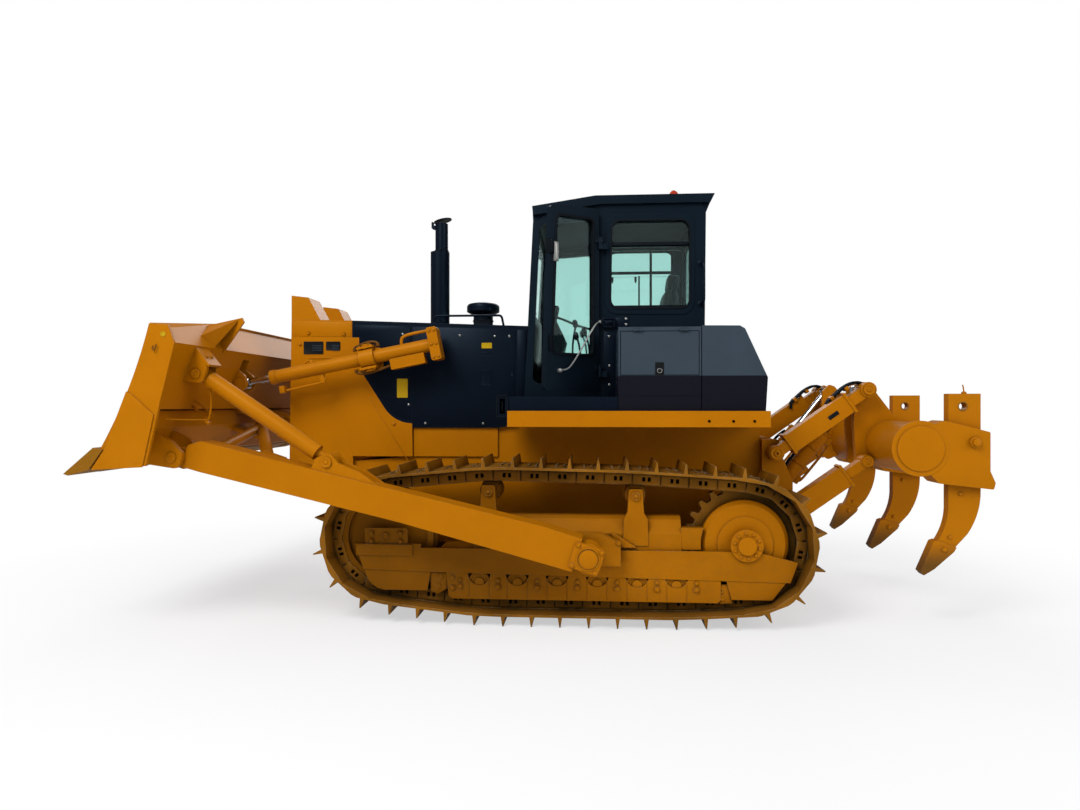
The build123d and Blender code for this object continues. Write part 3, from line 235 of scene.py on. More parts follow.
def weathered(tree, bsdf, values):
    """Weathering with its inputs by name, led to the shader's colour and roughness."""
    worn = tree.nodes.new("ShaderNodeGroup")
    worn.node_tree = weathering
    for name, value in values.items():
        worn.inputs[name].default_value = (*value, 1) if isinstance(value, tuple) else value
    tree.links.new(worn.outputs["Color"], bsdf.inputs["Base Color"])
    tree.links.new(worn.outputs["Roughness"], bsdf.inputs["Roughness"])
    return worn


def painted(name, paint, rough=0.4, dust=0.12, patch=0.10, metallic=0.0, coat=0.0, bump=0.08, scuff=0.1,
            wear=0.15, shade=0.35, shine=0.14, dust_tint=(0.30, 0.20, 0.09), bare=(0.55, 0.42, 0.22),
            shine_tint=(1.0, 0.72, 0.3), lower=None, blend=None):
    """Weathered paint, with painted shade in its hollows as strong as shade; lower=(tint, z) is a second tint
    for what lies below the height z, and blend=(tint, axis, start, end) one that comes in softly along an
    axis."""
    made, tree, bsdf = new_material(name)
    worn = weathered(tree, bsdf, {"Paint": paint, "Dust": dust_tint, "Bare": bare,
                                  "Patch scale": 2.2, "Patch strength": patch,
                                  "Scuff scale": 24.0, "Scuff amount": scuff, "Grain scale": 260.0,
                                  "Dust amount": dust, "Edge wear": wear, "Base roughness": rough,
                                  "Shade": shade})
    if lower:
        tint, z = lower
        below = math_node(tree, "LESS_THAN", axis_of(tree, object_place(tree), "Z"), z)
        tree.links.new(blend_colors(tree, below, paint, tint), worn.inputs["Paint"])
    if blend:
        tint, axis, start, end = blend
        share = spread(tree, axis_of(tree, object_place(tree), axis), start, end)
        tree.links.new(blend_colors(tree, share, paint, tint), worn.inputs["Paint"])
    bsdf.inputs["Metallic"].default_value = metallic
    bsdf.inputs["Specular IOR Level"].default_value = shine
    bsdf.inputs["Specular Tint"].default_value = (*shine_tint, 1)
    bsdf.inputs["Coat Weight"].default_value = coat
    bsdf.inputs["Coat Roughness"].default_value = 0.18
    relief = relief_of(tree, worn.outputs["Height"], bump, 0.002)
    tree.links.new(rounded_normal(tree, SOFT_EDGE), relief.inputs["Normal"])
    tree.links.new(relief.outputs["Normal"], bsdf.inputs["Normal"])
    return made


def chrome():
    made, tree, bsdf = new_material("chromed_rod")
    weathered(tree, bsdf, {"Paint": (0.62, 0.63, 0.66), "Bare": (0.5, 0.5, 0.5), "Scuff scale": 60.0,
                           "Scuff amount": 0.12, "Base roughness": 0.12, "Patch strength": 0.05,
                           "Patch scale": 8.0})
    bsdf.inputs["Metallic"].default_value = 1.0
    return made


def glass(name, tint, roughness=0.02):
    """Glass with a faint film of uneven roughness."""
    made, tree, bsdf = new_material(name)
    film = tree.nodes.new("ShaderNodeTexNoise")
    film.inputs["Scale"].default_value = 3.0
    film.inputs["Detail"].default_value = 6
    tree.links.new(object_place(tree), film.inputs["Vector"])
    tree.links.new(spread(tree, film.outputs["Fac"], 0.45, 0.75, roughness, roughness + 0.05),
                   bsdf.inputs["Roughness"])
    bsdf.inputs["Base Color"].default_value = (*tint, 1)
    bsdf.inputs["IOR"].default_value = 1.45
    bsdf.inputs["Transmission Weight"].default_value = 1.0
    return made


def cushion_cloth():
    made, tree, bsdf = new_material("seat_cloth")
    weave = tree.nodes.new("ShaderNodeTexWave")
    weave.inputs["Scale"].default_value = 120.0
    weave.inputs["Distortion"].default_value = 1.5
    tree.links.new(object_place(tree), weave.inputs["Vector"])
    tree.links.new(blend_colors(tree, weave.outputs["Fac"], (0.005, 0.006, 0.007), (0.010, 0.011, 0.013)),
                   bsdf.inputs["Base Color"])
    relief = relief_of(tree, weave.outputs["Fac"], 0.4, 0.001)
    tree.links.new(relief.outputs["Normal"], bsdf.inputs["Normal"])
    bsdf.inputs["Roughness"].default_value = 0.85
    bsdf.inputs["Sheen Weight"].default_value = 0.3
    return made


# SHADED is a painted shade: the yellow as it looks in the push arms' shade
YELLOW, YELLOW_FRAME, SHADED = (0.42, 0.138, 0.0008), (0.36, 0.12, 0.0008), (0.215, 0.073, 0.001)
NAVY, CAB_NAVY, SLATE = (0.0028, 0.0056, 0.0115), (0.0042, 0.0088, 0.0145), (0.036, 0.050, 0.065)
LOW_SLATE, WORN_TIP = (0.0075, 0.0065, 0.0105), (0.13, 0.055, 0.01)
COOL = (0.55, 0.75, 1.0)            # shine of the dark paints
WARM_DUST = (0.22, 0.12, 0.03)      # dust on the yellow ones
NAVY_WEAR = {"dust": 0.02, "patch": 0.2, "wear": 0.05, "shine_tint": COOL, "bare": (0.03, 0.04, 0.05),
             "dust_tint": (0.03, 0.03, 0.03)}
SLATE_WEAR = {"rough": 0.40, "dust": 0.03, "wear": 0.05, "shine_tint": COOL, "bare": (0.1, 0.11, 0.12),
              "dust_tint": (0.06, 0.06, 0.06)}
LOOKS = {
    "yellow": painted("orange_yellow_paint", YELLOW, rough=0.38, dust=0.06, dust_tint=WARM_DUST),
    # track frames: their yellow goes over into SHADED towards the front, a painted shade under the push arms,
    # and their hollows get stronger painted shade
    "shaded": painted("undercarriage_paint_and_painted_shade", YELLOW_FRAME, rough=0.45, dust=0.2, scuff=0.2, patch=0.2,
                      shade=0.6, dust_tint=(0.16, 0.08, 0.02), wear=0.3, blend=(SHADED, "X", -0.6, 0.5)),
    "worn_tips": painted("shank_paint", YELLOW, rough=0.42, dust=0.06, dust_tint=WARM_DUST,
                         blend=(WORN_TIP, "Z", 0.68, 0.45)),
    "dark": painted("blue_black_paint", NAVY, rough=0.36, **NAVY_WEAR),
    "cab": painted("cab_paint", CAB_NAVY, rough=0.34, **NAVY_WEAR),
    "grey": painted("slate_paint", SLATE, lower=(LOW_SLATE, 1.893), **SLATE_WEAR),
    "lid": painted("slate_lid_paint", SLATE, **SLATE_WEAR),
    "track_steel": painted("worn_track_paint", (0.215, 0.082, 0.004), rough=0.55, dust=0.4, bump=0.35,
                           scuff=0.25, patch=0.6, wear=0.6, shade=0.85, dust_tint=(0.13, 0.065, 0.016),
                           bare=(0.50, 0.42, 0.30), shine=0.3),
    "edge_steel": painted("worn_edge_paint", (0.25, 0.10, 0.004), rough=0.5, dust=0.3, bump=0.25, wear=0.5,
                          bare=(0.40, 0.30, 0.17), shine=0.3),
    "engine_iron": painted("engine_iron", (0.10, 0.10, 0.10), rough=0.6, metallic=0.4),
    "interior": painted("cab_plastic", (0.008, 0.010, 0.012), rough=0.6, bump=0.2, dust=0.0, wear=0.0,
                        shine_tint=COOL),
    "beacon": painted("beacon_plastic", (0.42, 0.035, 0.01), rough=0.2, dust=0.0, coat=0.4, wear=0.0,
                      shade=0.0),
    "chrome": chrome(),
    "glass": glass("tinted_glass", (0.60, 0.84, 0.80)),
    "lens": glass("lamp_lens", (0.95, 0.97, 1.0), 0.08),
    "zinc": painted("zinc_bolts", (0.42, 0.42, 0.40), rough=0.35, metallic=0.8, dust=0.1, wear=0.0,
                    shine_tint=(1, 1, 1)),
    "rubber": painted("black_rubber", (0.004, 0.005, 0.006), rough=0.6, bump=0.15, dust=0.02, wear=0.0,
                      dust_tint=(0.03, 0.03, 0.03), shine_tint=COOL),
    # near-black painted shade for holes, bores and the links' windows
    "painted_shade_black": painted("shadowed_hole", (0.004, 0.002, 0.001), rough=0.9, dust=0.0, wear=0.0, shade=0.0,
                    shine=0.02),
    "plate_black": painted("blank_black_plate", (0.006, 0.008, 0.010), rough=0.28, coat=0.2, dust=0.0,
                           wear=0.1, bare=(0.3, 0.3, 0.28)),
    "plate_yellow": painted("blank_yellow_plate", (0.46, 0.28, 0.008), rough=0.4, dust=0.05, wear=0.0),
    "rust": painted("heat_worn_iron", (0.12, 0.045, 0.006), rough=0.7, dust=0.3, wear=0.3),
    "cloth": cushion_cloth(),
}
LOOK_OF = {"box_door": "lid", "cab_body": "cab", "cab_roof": "cab", "door_left": "cab", "door_right": "cab",
           "track_frames": "shaded", "rollers": "shaded", "idlers": "shaded", "ripper_shanks": "worn_tips"}

slot_of = {row["node"]: row["material_slot"] for row in frame["record"]["subparts"]}
for node_name, node in nodes.items():
    node.data.materials.clear()
    node.data.materials.append(LOOKS[LOOK_OF.get(node_name, slot_of[node_name])])


# ------------------------------------------------------------------ modelling

def deselect():
    bpy.ops.object.select_all(action="DESELECT")


def take(piece):
    """Selects one piece alone and makes it the active one."""
    deselect()
    piece.select_set(True)
    bpy.context.view_layer.objects.active = piece


def apply_place():
    bpy.ops.object.transform_apply(location=True, rotation=True, scale=True)
    return bpy.context.object


@contextmanager
def editing(piece):
    take(piece)
    bpy.ops.object.mode_set(mode="EDIT")
    yield
    bpy.ops.object.mode_set(mode="OBJECT")


def select_all():
    bpy.ops.mesh.select_all(action="SELECT")


def pick(test, kind="FACE"):
    """Selects only the faces whose (middle, normal), or the edges whose (middle, direction), pass a test."""
    bpy.ops.mesh.select_mode(type=kind)
    bpy.ops.mesh.select_all(action="DESELECT")
    data = bpy.context.object.data
    mesh = bmesh.from_edit_mesh(data)
    if kind == "FACE":
        for face in mesh.faces:
            face.select_set(bool(test(face.calc_center_median(), face.normal)))
    else:
        for edge in mesh.edges:
            a, b = (corner.co for corner in edge.verts)
            edge.select_set(bool(test((a + b) / 2, (b - a).normalized())))
    bmesh.update_edit_mesh(data)


def raise_by(way):
    bpy.ops.mesh.extrude_region_move(TRANSFORM_OT_translate={"value": tuple(way)})


def close_normals():
    bpy.ops.mesh.select_mode(type="FACE")
    select_all()
    bpy.ops.mesh.normals_make_consistent(inside=False)


def stepped(piece, way, *steps):
    """Insets and raises the faces that look along way, once for each (inset, rise) in millimetres."""
    way = Vector(way)
    with editing(piece):
        pick(lambda middle, normal: normal.dot(way) > 0.9)
        for inset, rise in steps:
            bpy.ops.mesh.inset(thickness=inset / 1000)
            raise_by(way * (rise / 1000))
    return piece


def block(middle, size, lean=0.0):
    """New block; its length leans by so many degrees up from +X. Sizes in millimetres."""
    deselect()
    bpy.ops.mesh.primitive_cube_add(size=1, location=middle, scale=[s / 1000 for s in size],
                                    rotation=(0, -math.radians(lean), 0))
    return apply_place()


def rimmed_plate(middle, size, lean=0.0, corner=5, rim=4, sink=1.5):
    """Thin plate that faces +Y, with rounded corners and a face sunk inside its rim."""
    piece = block(middle, size, lean)
    with editing(piece):
        pick(lambda middle, way: abs(way.y) > 0.99, "EDGE")
        bpy.ops.mesh.bevel(offset=corner / 1000, segments=3, affect="EDGES")
        pick(lambda middle, normal: normal.y > 0.9)
        bpy.ops.mesh.inset(thickness=rim / 1000)
        bpy.ops.transform.translate(value=(0, -sink / 1000, 0))
    return piece


def cut_plate(outline, y0, y1):
    """Plate cut to an outline of (x, z) points, from y0 to y1, all in millimetres."""
    deselect()
    bpy.ops.mesh.primitive_circle_add(vertices=len(outline), radius=1, fill_type="NGON")
    piece = bpy.context.object
    for corner, (x, z) in zip(piece.data.vertices, outline):
        corner.co = spot(x, y0, z)
    with editing(piece):
        select_all()
        raise_by((0, (y1 - y0) / 1000, 0))
        close_normals()
    return piece


def turned(point, way, rings, sides=28):
    """Round piece on an axis from point along way, from (radius, height) rings in millimetres."""
    deselect()
    radius, height = rings[0]
    bpy.ops.mesh.primitive_circle_add(vertices=sides, radius=radius / 1000, fill_type="NGON",
                                      location=(0, 0, height / 1000))
    piece = apply_place()
    with editing(piece):
        select_all()
        for next_radius, next_height in rings[1:]:
            raise_by((0, 0, (next_height - height) / 1000))
            scale = next_radius / radius
            bpy.ops.transform.resize(value=(scale, scale, 1), center_override=(0, 0, next_height / 1000))
            radius, height = next_radius, next_height
        close_normals()
    piece.location = point
    piece.rotation_euler = Vector(way).to_track_quat("Z", "Y").to_euler()
    take(piece)
    return apply_place()


def band(corners, y0, y1, width, radius):
    """Closed band just inside an opening with the corners low rear, low front, high rear, high front."""
    deselect()
    bpy.ops.mesh.primitive_plane_add(size=1)
    piece = bpy.context.object
    for corner, (x, z) in zip(piece.data.vertices, corners):
        corner.co = spot(x, y0, z)
    with editing(piece):
        select_all()
        bpy.ops.mesh.bevel(offset=radius / 1000, segments=6, affect="VERTICES")
        select_all()
        bpy.ops.mesh.inset(thickness=width / 1000)
        bpy.ops.mesh.delete(type="FACE")
        select_all()
        raise_by((0, (y1 - y0) / 1000, 0))
        close_normals()
    return piece


def hoop(point, way, radius, thickness):
    """Thin ring about the line through point along way."""
    bpy.ops.mesh.primitive_torus_add(major_segments=36, minor_segments=8, major_radius=radius / 1000,
                                     minor_radius=thickness / 1000, location=point,
                                     rotation=Vector(way).to_track_quat("Z", "Y").to_euler())
    return bpy.context.object


def pipe(points, radius, place=spot):
    """Bent pipe through points given as place takes them, its radius in millimetres."""
    deselect()
    bpy.ops.curve.primitive_nurbs_path_add()
    path = bpy.context.object
    path.data.splines.clear()
    line = path.data.splines.new("NURBS")
    line.points.add(len(points) - 1)
    for knot, point in zip(line.points, points):
        knot.co = (*place(*point), 1)
    line.order_u = min(3, len(points))
    line.use_endpoint_u = True
    line.resolution_u = 6
    path.data.dimensions = "3D"
    path.data.bevel_depth = radius / 1000
    path.data.bevel_resolution = 3
    path.data.use_fill_caps = True
    bpy.ops.object.convert(target="MESH")
    return bpy.context.object


def joined(pieces):
    take(pieces[0])
    for piece in pieces:
        piece.select_set(True)
    bpy.ops.object.join()
    return bpy.context.object


def modified(piece, kind, **settings):
    take(piece)
    step = piece.modifiers.new(kind.lower(), kind)
    for name, value in settings.items():
        setattr(step, name, value)
    bpy.ops.object.modifier_apply(modifier=step.name)
    return piece


def keep(piece, name, body, slot, look=None, both=False, edge=1.5):
    """Finishes a piece: mirrored where both is set, edges rounded in millimetres, its finish and its body."""
    piece.name = piece.data.name = name
    if both:
        modified(piece, "MIRROR", use_axis=(False, True, False), use_mirror_merge=False)
    if edge:
        modified(piece, "BEVEL", width=edge / 1000, segments=2, limit_method="ANGLE", angle_limit=SHARP)
    take(piece)
    bpy.ops.object.shade_smooth_by_angle(angle=SHARP)
    piece.data.materials.clear()
    piece.data.materials.append(LOOKS[look or slot])
    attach(piece, body)
    return piece


def twin_of(model, matrix):
    """Copy of a model with a mesh of its own, moved by the matrix."""
    twin = model.copy()
    twin.data = model.data.copy()
    twin.data.transform(matrix)
    bpy.context.scene.collection.objects.link(twin)
    return twin


def copied(model, points, ways, sizes):
    """Joined copies of a model that is drawn along +Z about the origin."""
    copies = []
    for point, way, size in zip(points, ways, sizes):
        turn = Vector(way).to_track_quat("Z", "Y").to_matrix().to_4x4()
        copies.append(twin_of(model, Matrix.Translation(point) @ turn @ Matrix.Scale(size / 1000, 4)))
    return joined(copies)


def on_face(node, point, way, reach=0.25):
    """Where a line back along way through point first meets the node, within reach in metres."""
    way = Vector(way).normalized()
    hit, place, _, _ = nodes[node].ray_cast(point + way * reach, -way, distance=2 * reach)
    if not hit:
        raise ValueError(f"nothing of {node} at {point}")
    return place


def bolt_model():
    """Washer and bevelled hexagon head, one unit from centre to corner."""
    deselect()
    bpy.ops.mesh.primitive_cylinder_add(vertices=14, radius=1.35, depth=0.3, location=(0, 0, 0.1))
    piece = apply_place()
    with editing(piece):
        bpy.ops.mesh.primitive_cylinder_add(vertices=6, radius=1.0, depth=0.7, location=(0, 0, 0.6))
        pick(lambda middle, normal: normal.z > 0.9 and middle.z > 0.9)
        bpy.ops.mesh.inset(thickness=0.14)
        bpy.ops.transform.translate(value=(0, 0, 0.08))
    return piece


BOLT = bolt_model()


def bolts(name, body, slot, rows, look=None, both=True):
    """Bolt heads from rows of (node, point, way, size in millimetres), each seated on its node's face."""
    places = [on_face(node, point, way) for node, point, way, _ in rows]
    piece = copied(BOLT, places, [row[2] for row in rows], [row[3] for row in rows])
    keep(piece, name, body, slot, look, both, edge=0)


# ------------------------------------------------------------------ undercarriage

GAUGE, CHEEK_OUT = 1000, 99         # y of the track's middle, and from there to its link cheeks
LINKS, PIN_TO_SHOE_TOP = 38, 75
SHOE_BOLT_YS = [GAUGE + side * 77 + step for side in (-1, 1) for step in (-30, 30)]
WHEELS = [(519, 303, 155), (2024, 303, 155), (2760, 640, 410), (1956, 1001, 125), (825, 978, 125),
          (0, 616, 434)]        # x, z and radius to the pins


def pin_line():
    """The track's closed line through its pins, as runs of (start, end, length). An arc's start is
    (x, z, radius, first angle, last angle) and its end is None."""
    normals = []
    for (x1, z1, r1), (x2, z2, r2) in zip(WHEELS, WHEELS[1:] + WHEELS[:1]):
        slope = math.atan2(z2 - z1, x2 - x1)
        normals.append(slope - math.pi / 2 + math.asin((r1 - r2) / math.dist((x1, z1), (x2, z2))))
    runs = []
    for i, (x, z, r) in enumerate(WHEELS):
        t0, t1 = normals[i - 1], normals[i]
        while t1 < t0:
            t1 += 2 * math.pi
        x2, z2, r2 = WHEELS[(i + 1) % len(WHEELS)]
        p = (x + r * math.cos(t1), z + r * math.sin(t1))
        q = (x2 + r2 * math.cos(t1), z2 + r2 * math.sin(t1))
        runs += [((x, z, r, t0, t1), None, r * (t1 - t0)), (p, q, math.dist(p, q))]
    return runs


def pins():
    """The pins' places, evenly spaced along the line."""
    runs = pin_line()
    total = sum(run[2] for run in runs)
    points = []
    for i in range(LINKS):
        s = (total * (i + 0.35) / LINKS) % total
        for start, end, length in runs:
            if s <= length:
                break
            s -= length
        if end is None:
            x, z, r, t0, t1 = start
            t = t0 + (t1 - t0) * s / length
            points.append((x + r * math.cos(t), z + r * math.sin(t)))
        else:
            points.append(tuple(a + (b - a) * s / length for a, b in zip(start, end)))
    return points


def links():
    """Start, end, way along and way out of each link."""
    points = pins()
    for start, end in zip(points, points[1:] + points[:1]):
        way = Vector((end[0] - start[0], 0, end[1] - start[1])).normalized()
        yield start, end, way, Vector((way.z, 0, -way.x))


def on_link(start, end, out, t, y, rise):
    """The point at y that lies the share t along a link and rise out from its pins."""
    (px, pz), (qx, qz) = start, end
    return spot(px + (qx - px) * t, y, pz + (qz - pz) * t) + out * rise / 1000


def link_plate():
    """Side of one link, drawn on the ground plane: an oval cheek with two windows."""
    deselect()
    bpy.ops.mesh.primitive_grid_add(x_subdivisions=7, y_subdivisions=3, size=1)
    piece = bpy.context.object
    columns, rows = (-104, -60, -32, -10, 10, 32, 60, 104), (-40, -16, 18, 44)
    for corner in piece.data.vertices:
        i, j = round((corner.co.x + 0.5) * 7), round((corner.co.y + 0.5) * 3)
        corner.co = (columns[i] / 1000, rows[j] / 1000, 0)
    with editing(piece):
        pick(lambda middle, normal: abs(middle.y) < 0.01 and 0.012 < abs(middle.x) < 0.04)
        bpy.ops.mesh.delete(type="FACE")
        bpy.ops.mesh.select_mode(type="FACE")
        select_all()
        raise_by((0, 0, 0.012))
        close_normals()
    return modified(piece, "BEVEL", width=0.006, segments=2, limit_method="ANGLE",
                    angle_limit=math.radians(40))


def window_shadow():
    """The dark bottom of one of a link's two windows, a painted shade."""
    deselect()
    bpy.ops.mesh.primitive_cylinder_add(vertices=16, radius=0.5, depth=1)
    piece = bpy.context.object
    with editing(piece):
        pick(lambda middle, normal: normal.z > 0.9)
        bpy.ops.mesh.inset(thickness=0.1)
        bpy.ops.transform.translate(value=(0, 0, -0.3))
    piece.data.transform(Matrix.Diagonal((0.021, 0.033, 0.006, 1)))
    return piece


def set_along_track(model, rise):
    """Copies of a model drawn in the ground plane, one for each link, turned to stand on its cheek."""
    twins = []
    for start, end, way, out in links():
        turn = Matrix((way, -out, Vector(LEFT))).transposed().to_4x4()
        middle = on_link(start, end, out, 0.5, GAUGE + CHEEK_OUT, rise)
        twins.append(twin_of(model, Matrix.Translation(middle) @ turn))
    bpy.data.objects.remove(model)
    return joined(twins)


def track_details():
    cheeks = set_along_track(link_plate(), 4)
    with editing(cheeks):
        close_normals()
    keep(cheeks, "link_cheeks", "chassis", "track_steel", both=True, edge=0)
    # near-black insets in the links' windows: a painted shade
    hole = window_shadow()
    shadows = [set_along_track(twin_of(hole, Matrix.Translation((x, -0.001, 0))), 0) for x in (-0.021, 0.021)]
    bpy.data.objects.remove(hole)
    keep(joined(shadows), "link_window_painted_shade", "chassis", "track_steel", "painted_shade_black", both=True, edge=0)
    places, ways = [], []
    for start, end, _, out in links():
        for t in (0.28, 0.55):
            for y in SHOE_BOLT_YS:
                places.append(on_link(start, end, out, t, y, PIN_TO_SHOE_TOP))
                ways.append(out)
    shoe_bolts = copied(BOLT, places, ways, [12] * len(places))
    keep(shoe_bolts, "shoe_bolts", "chassis", "track_steel", both=True, edge=0)


FRAME_OUT = 1165                    # y of the track frame's outer face
CARRIERS = ((1956, 1001), (825, 978))
ROLLER_XS, ROLLER_Z = (519, 815, 1118, 1423, 1729, 2024), 303
RIB_XS = (444, 593, 741, 890, 1043, 1194, 1346, 1500, 1652, 1806, 1948, 2102)
GUARD_BOLT_XS = (371, 667, 967, 1270, 1576, 1876, 2170)
FRAME_BOLTS = ((2866, 676, 17), (2866, 614, 17), (2640, 676, 17), (2640, 614, 17), (2232, 340, 16),
               (2230, 262, 18), (960, 640, 16), (905, 600, 16))
GUARD_BRACKETS = (((2410, 380), (2266, 380), (2274, 250), (2350, 205), (2402, 228)),
                  ((223, 313), (125, 314), (105, 175), (196, 168)))
BRACKET_BOLTS = ((2330, 338), (2345, 268), (193, 270), (176, 218))
TRUNNION_GUSSET = [(820, 590), (960, 590), (1010, 690), (995, 700)]
DRIVE_BOLTS, DRIVE_BOLT_CIRCLE, DRIVE_Z = 10, 95, 616


def frame_bolt_details():
    rows = []
    for i in range(DRIVE_BOLTS):
        turn = math.radians(360 / DRIVE_BOLTS * i + 12)
        x, z = DRIVE_BOLT_CIRCLE * math.cos(turn), DRIVE_Z + DRIVE_BOLT_CIRCLE * math.sin(turn)
        rows.append(("final_drives", spot(x, 1190, z), LEFT, 11))
    bolts("drive_cap_bolts", "chassis", "yellow", rows)
    places = list(FRAME_BOLTS)
    places += [(x, z, size) for x in GUARD_BOLT_XS for z, size in ((325, 14), (276, 19))]
    places += [(x, z, 15) for x, z in CARRIERS]
    rows = [("track_frames", spot(x, FRAME_OUT, z), LEFT, size) for x, z, size in places]
    bolts("frame_bolts", "chassis", "yellow", rows, "shaded")


def frame_details():
    caps = [turned(spot(x, 1171, z), LEFT, [(34, 0), (34, 6), (25, 6), (25, 3)]) for x, z in CARRIERS]
    caps.append(turned(spot(2760, 1170, 648), LEFT, [(32, 0), (32, 10), (24, 10), (24, 4)]))
    for x in ROLLER_XS:
        caps.append(turned(spot(x, 1149, ROLLER_Z), LEFT,
                           [(84, 0), (84, 16), (70, 16), (66, 9), (40, 9), (36, 20)], 36))
    keep(joined(caps), "roller_and_carrier_caps", "chassis", "yellow", "shaded", both=True, edge=1)
    ribs = [cut_plate(TRUNNION_GUSSET, 1160, 1190)]
    ribs += [block(spot(x, 1176, 264), (6, 5, 150)) for x in RIB_XS]
    keep(joined(ribs), "frame_ribs", "chassis", "yellow", "shaded", both=True)
    brackets = [stepped(cut_plate(outline, 1128, 1160), LEFT, (8, 4)) for outline in GUARD_BRACKETS]
    for x, z in BRACKET_BOLTS:
        brackets.append(turned(spot(x, 1164, z), LEFT, [(24, 0), (24, 6), (14, 6), (13, 2)], 24))
    keep(joined(brackets), "guard_brackets", "chassis", "yellow", "shaded", both=True, edge=1)


track_details()
frame_bolt_details()
frame_details()


# ------------------------------------------------------------------ blade group

STRUT_Y, STEP_Y, HOOK_Y = 1480, 1300, 1868
EDGE_BOLT_PITCH, EDGE_BOLT_ROWS = 0.152, (0.045, 0.12)      # metres
ARM_CAP_BOLTS = ((96, 76), (96, -76), (-78, 76), (-78, -76))
BLADE_PINS = ((3108, -264, 1632, 30), (2015, 55, 1576, 30), (3150, 368, 1576, 26))     # u, w, y, radius


def arm_details():
    rows = [("push_arms", blade_spot(u, 1580, w), LEFT, 15) for u, w in ARM_CAP_BOLTS]
    bolts("arm_cap_bolts", "blade_group", "yellow", rows)
    ring = turned(blade_spot(0, 1588, 0), LEFT, [(84, 0), (84, 8), (74, 8), (74, 2)], 40)
    disc = turned(blade_spot(0, 1586, 0), LEFT, [(66, -4), (66, 12), (58, 16)], 40)
    keep(joined([ring, disc]), "arm_cap_rings", "blade_group", "yellow", both=True, edge=1)
    heads = [turned(blade_spot(u, y, w), LEFT, [(r + 8, 0), (r + 8, 9), (r - 4, 9), (r - 5, 6), (r - 16, 6),
                                                (r - 18, 12)]) for u, w, y, r in BLADE_PINS]
    keep(joined(heads), "blade_pin_heads", "blade_group", "yellow", both=True, edge=1)


def blade_details():
    # the eye is drawn in the lighter plate yellow, a painted highlight
    eye = turned(blade_spot(3312, 1850, 595), LEFT, [(19, 0), (19, 5), (13, 5), (12, 3)])
    keep(eye, "blade_lifting_eye", "blade_group", "yellow", "plate_yellow", both=True, edge=0)
    hook = pipe([(3330, HOOK_Y, 512), (3322, HOOK_Y, 480), (3336, HOOK_Y, 466), (3350, HOOK_Y, 478),
                 (3346, HOOK_Y, 496)], 4, blade_spot)
    keep(hook, "blade_hook", "blade_group", "yellow", "rust", both=True, edge=0)
    # the grease hole is a ring drawn in near-black painted shade
    hole = turned(blade_spot(3268, 1575, 420), LEFT, [(11, 0), (11, 3), (7, 3), (7, 1)])
    keep(hole, "strut_lug_grease_hole", "blade_group", "yellow", "painted_shade_black", both=True, edge=0)
    line = pipe([(3195, 1700, 6), (3120, 1650, 20), (3000, STRUT_Y, 58)], 5, blade_spot)
    up = pipe([(3000, STRUT_Y, 58), (3000, STRUT_Y, 150), (3085, STRUT_Y - 10, 330),
               (3100, STRUT_Y - 12, 395)], 7, blade_spot)
    clip = block(blade_spot(3002, STRUT_Y, 40), (46, 30, 22), 40)
    keep(joined([line, up, clip]), "blade_grease_line", "blade_group", "yellow", both=True, edge=1)
    loop = pipe([(3290, STEP_Y, 100), (3272, STEP_Y, 136), (3200, STEP_Y, 122), (3085, STEP_Y, 82),
                 (3062, STEP_Y, 58), (3090, STEP_Y, 44), (3200, STEP_Y, 70), (3290, STEP_Y, 92)],
                8, blade_spot)
    keep(loop, "blade_step_loop", "blade_group", "yellow", both=True, edge=0)


def blade_bolts():
    lifted_up = (-math.sin(LIFTED), 0, math.cos(LIFTED))
    rows = [("blade", blade_spot(3140, STRUT_Y + side, 510), lifted_up, 13) for side in (-34, 34)]
    bolts("strut_cover_bolts", "blade_group", "yellow", rows)
    low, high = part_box("cutting_edge")
    rows = []
    for i in range(-11, 12):
        for z in EDGE_BOLT_ROWS:
            point = Vector((high.x - 0.06, i * EDGE_BOLT_PITCH, low.z + z))
            rows.append(("cutting_edge", point, (1, 0, 0.35), 13))
    bolts("edge_bolts", "blade_group", "edge_steel", rows, both=False)


arm_details()
blade_details()
blade_bolts()


# ------------------------------------------------------------------ lift cylinders

def on_lift(t, n, y=LIFT_Y):
    """The point t from the yoke towards the rod eye and n above the cylinder's axis."""
    return along(YOKE, ROD_EYE, t, n, y)


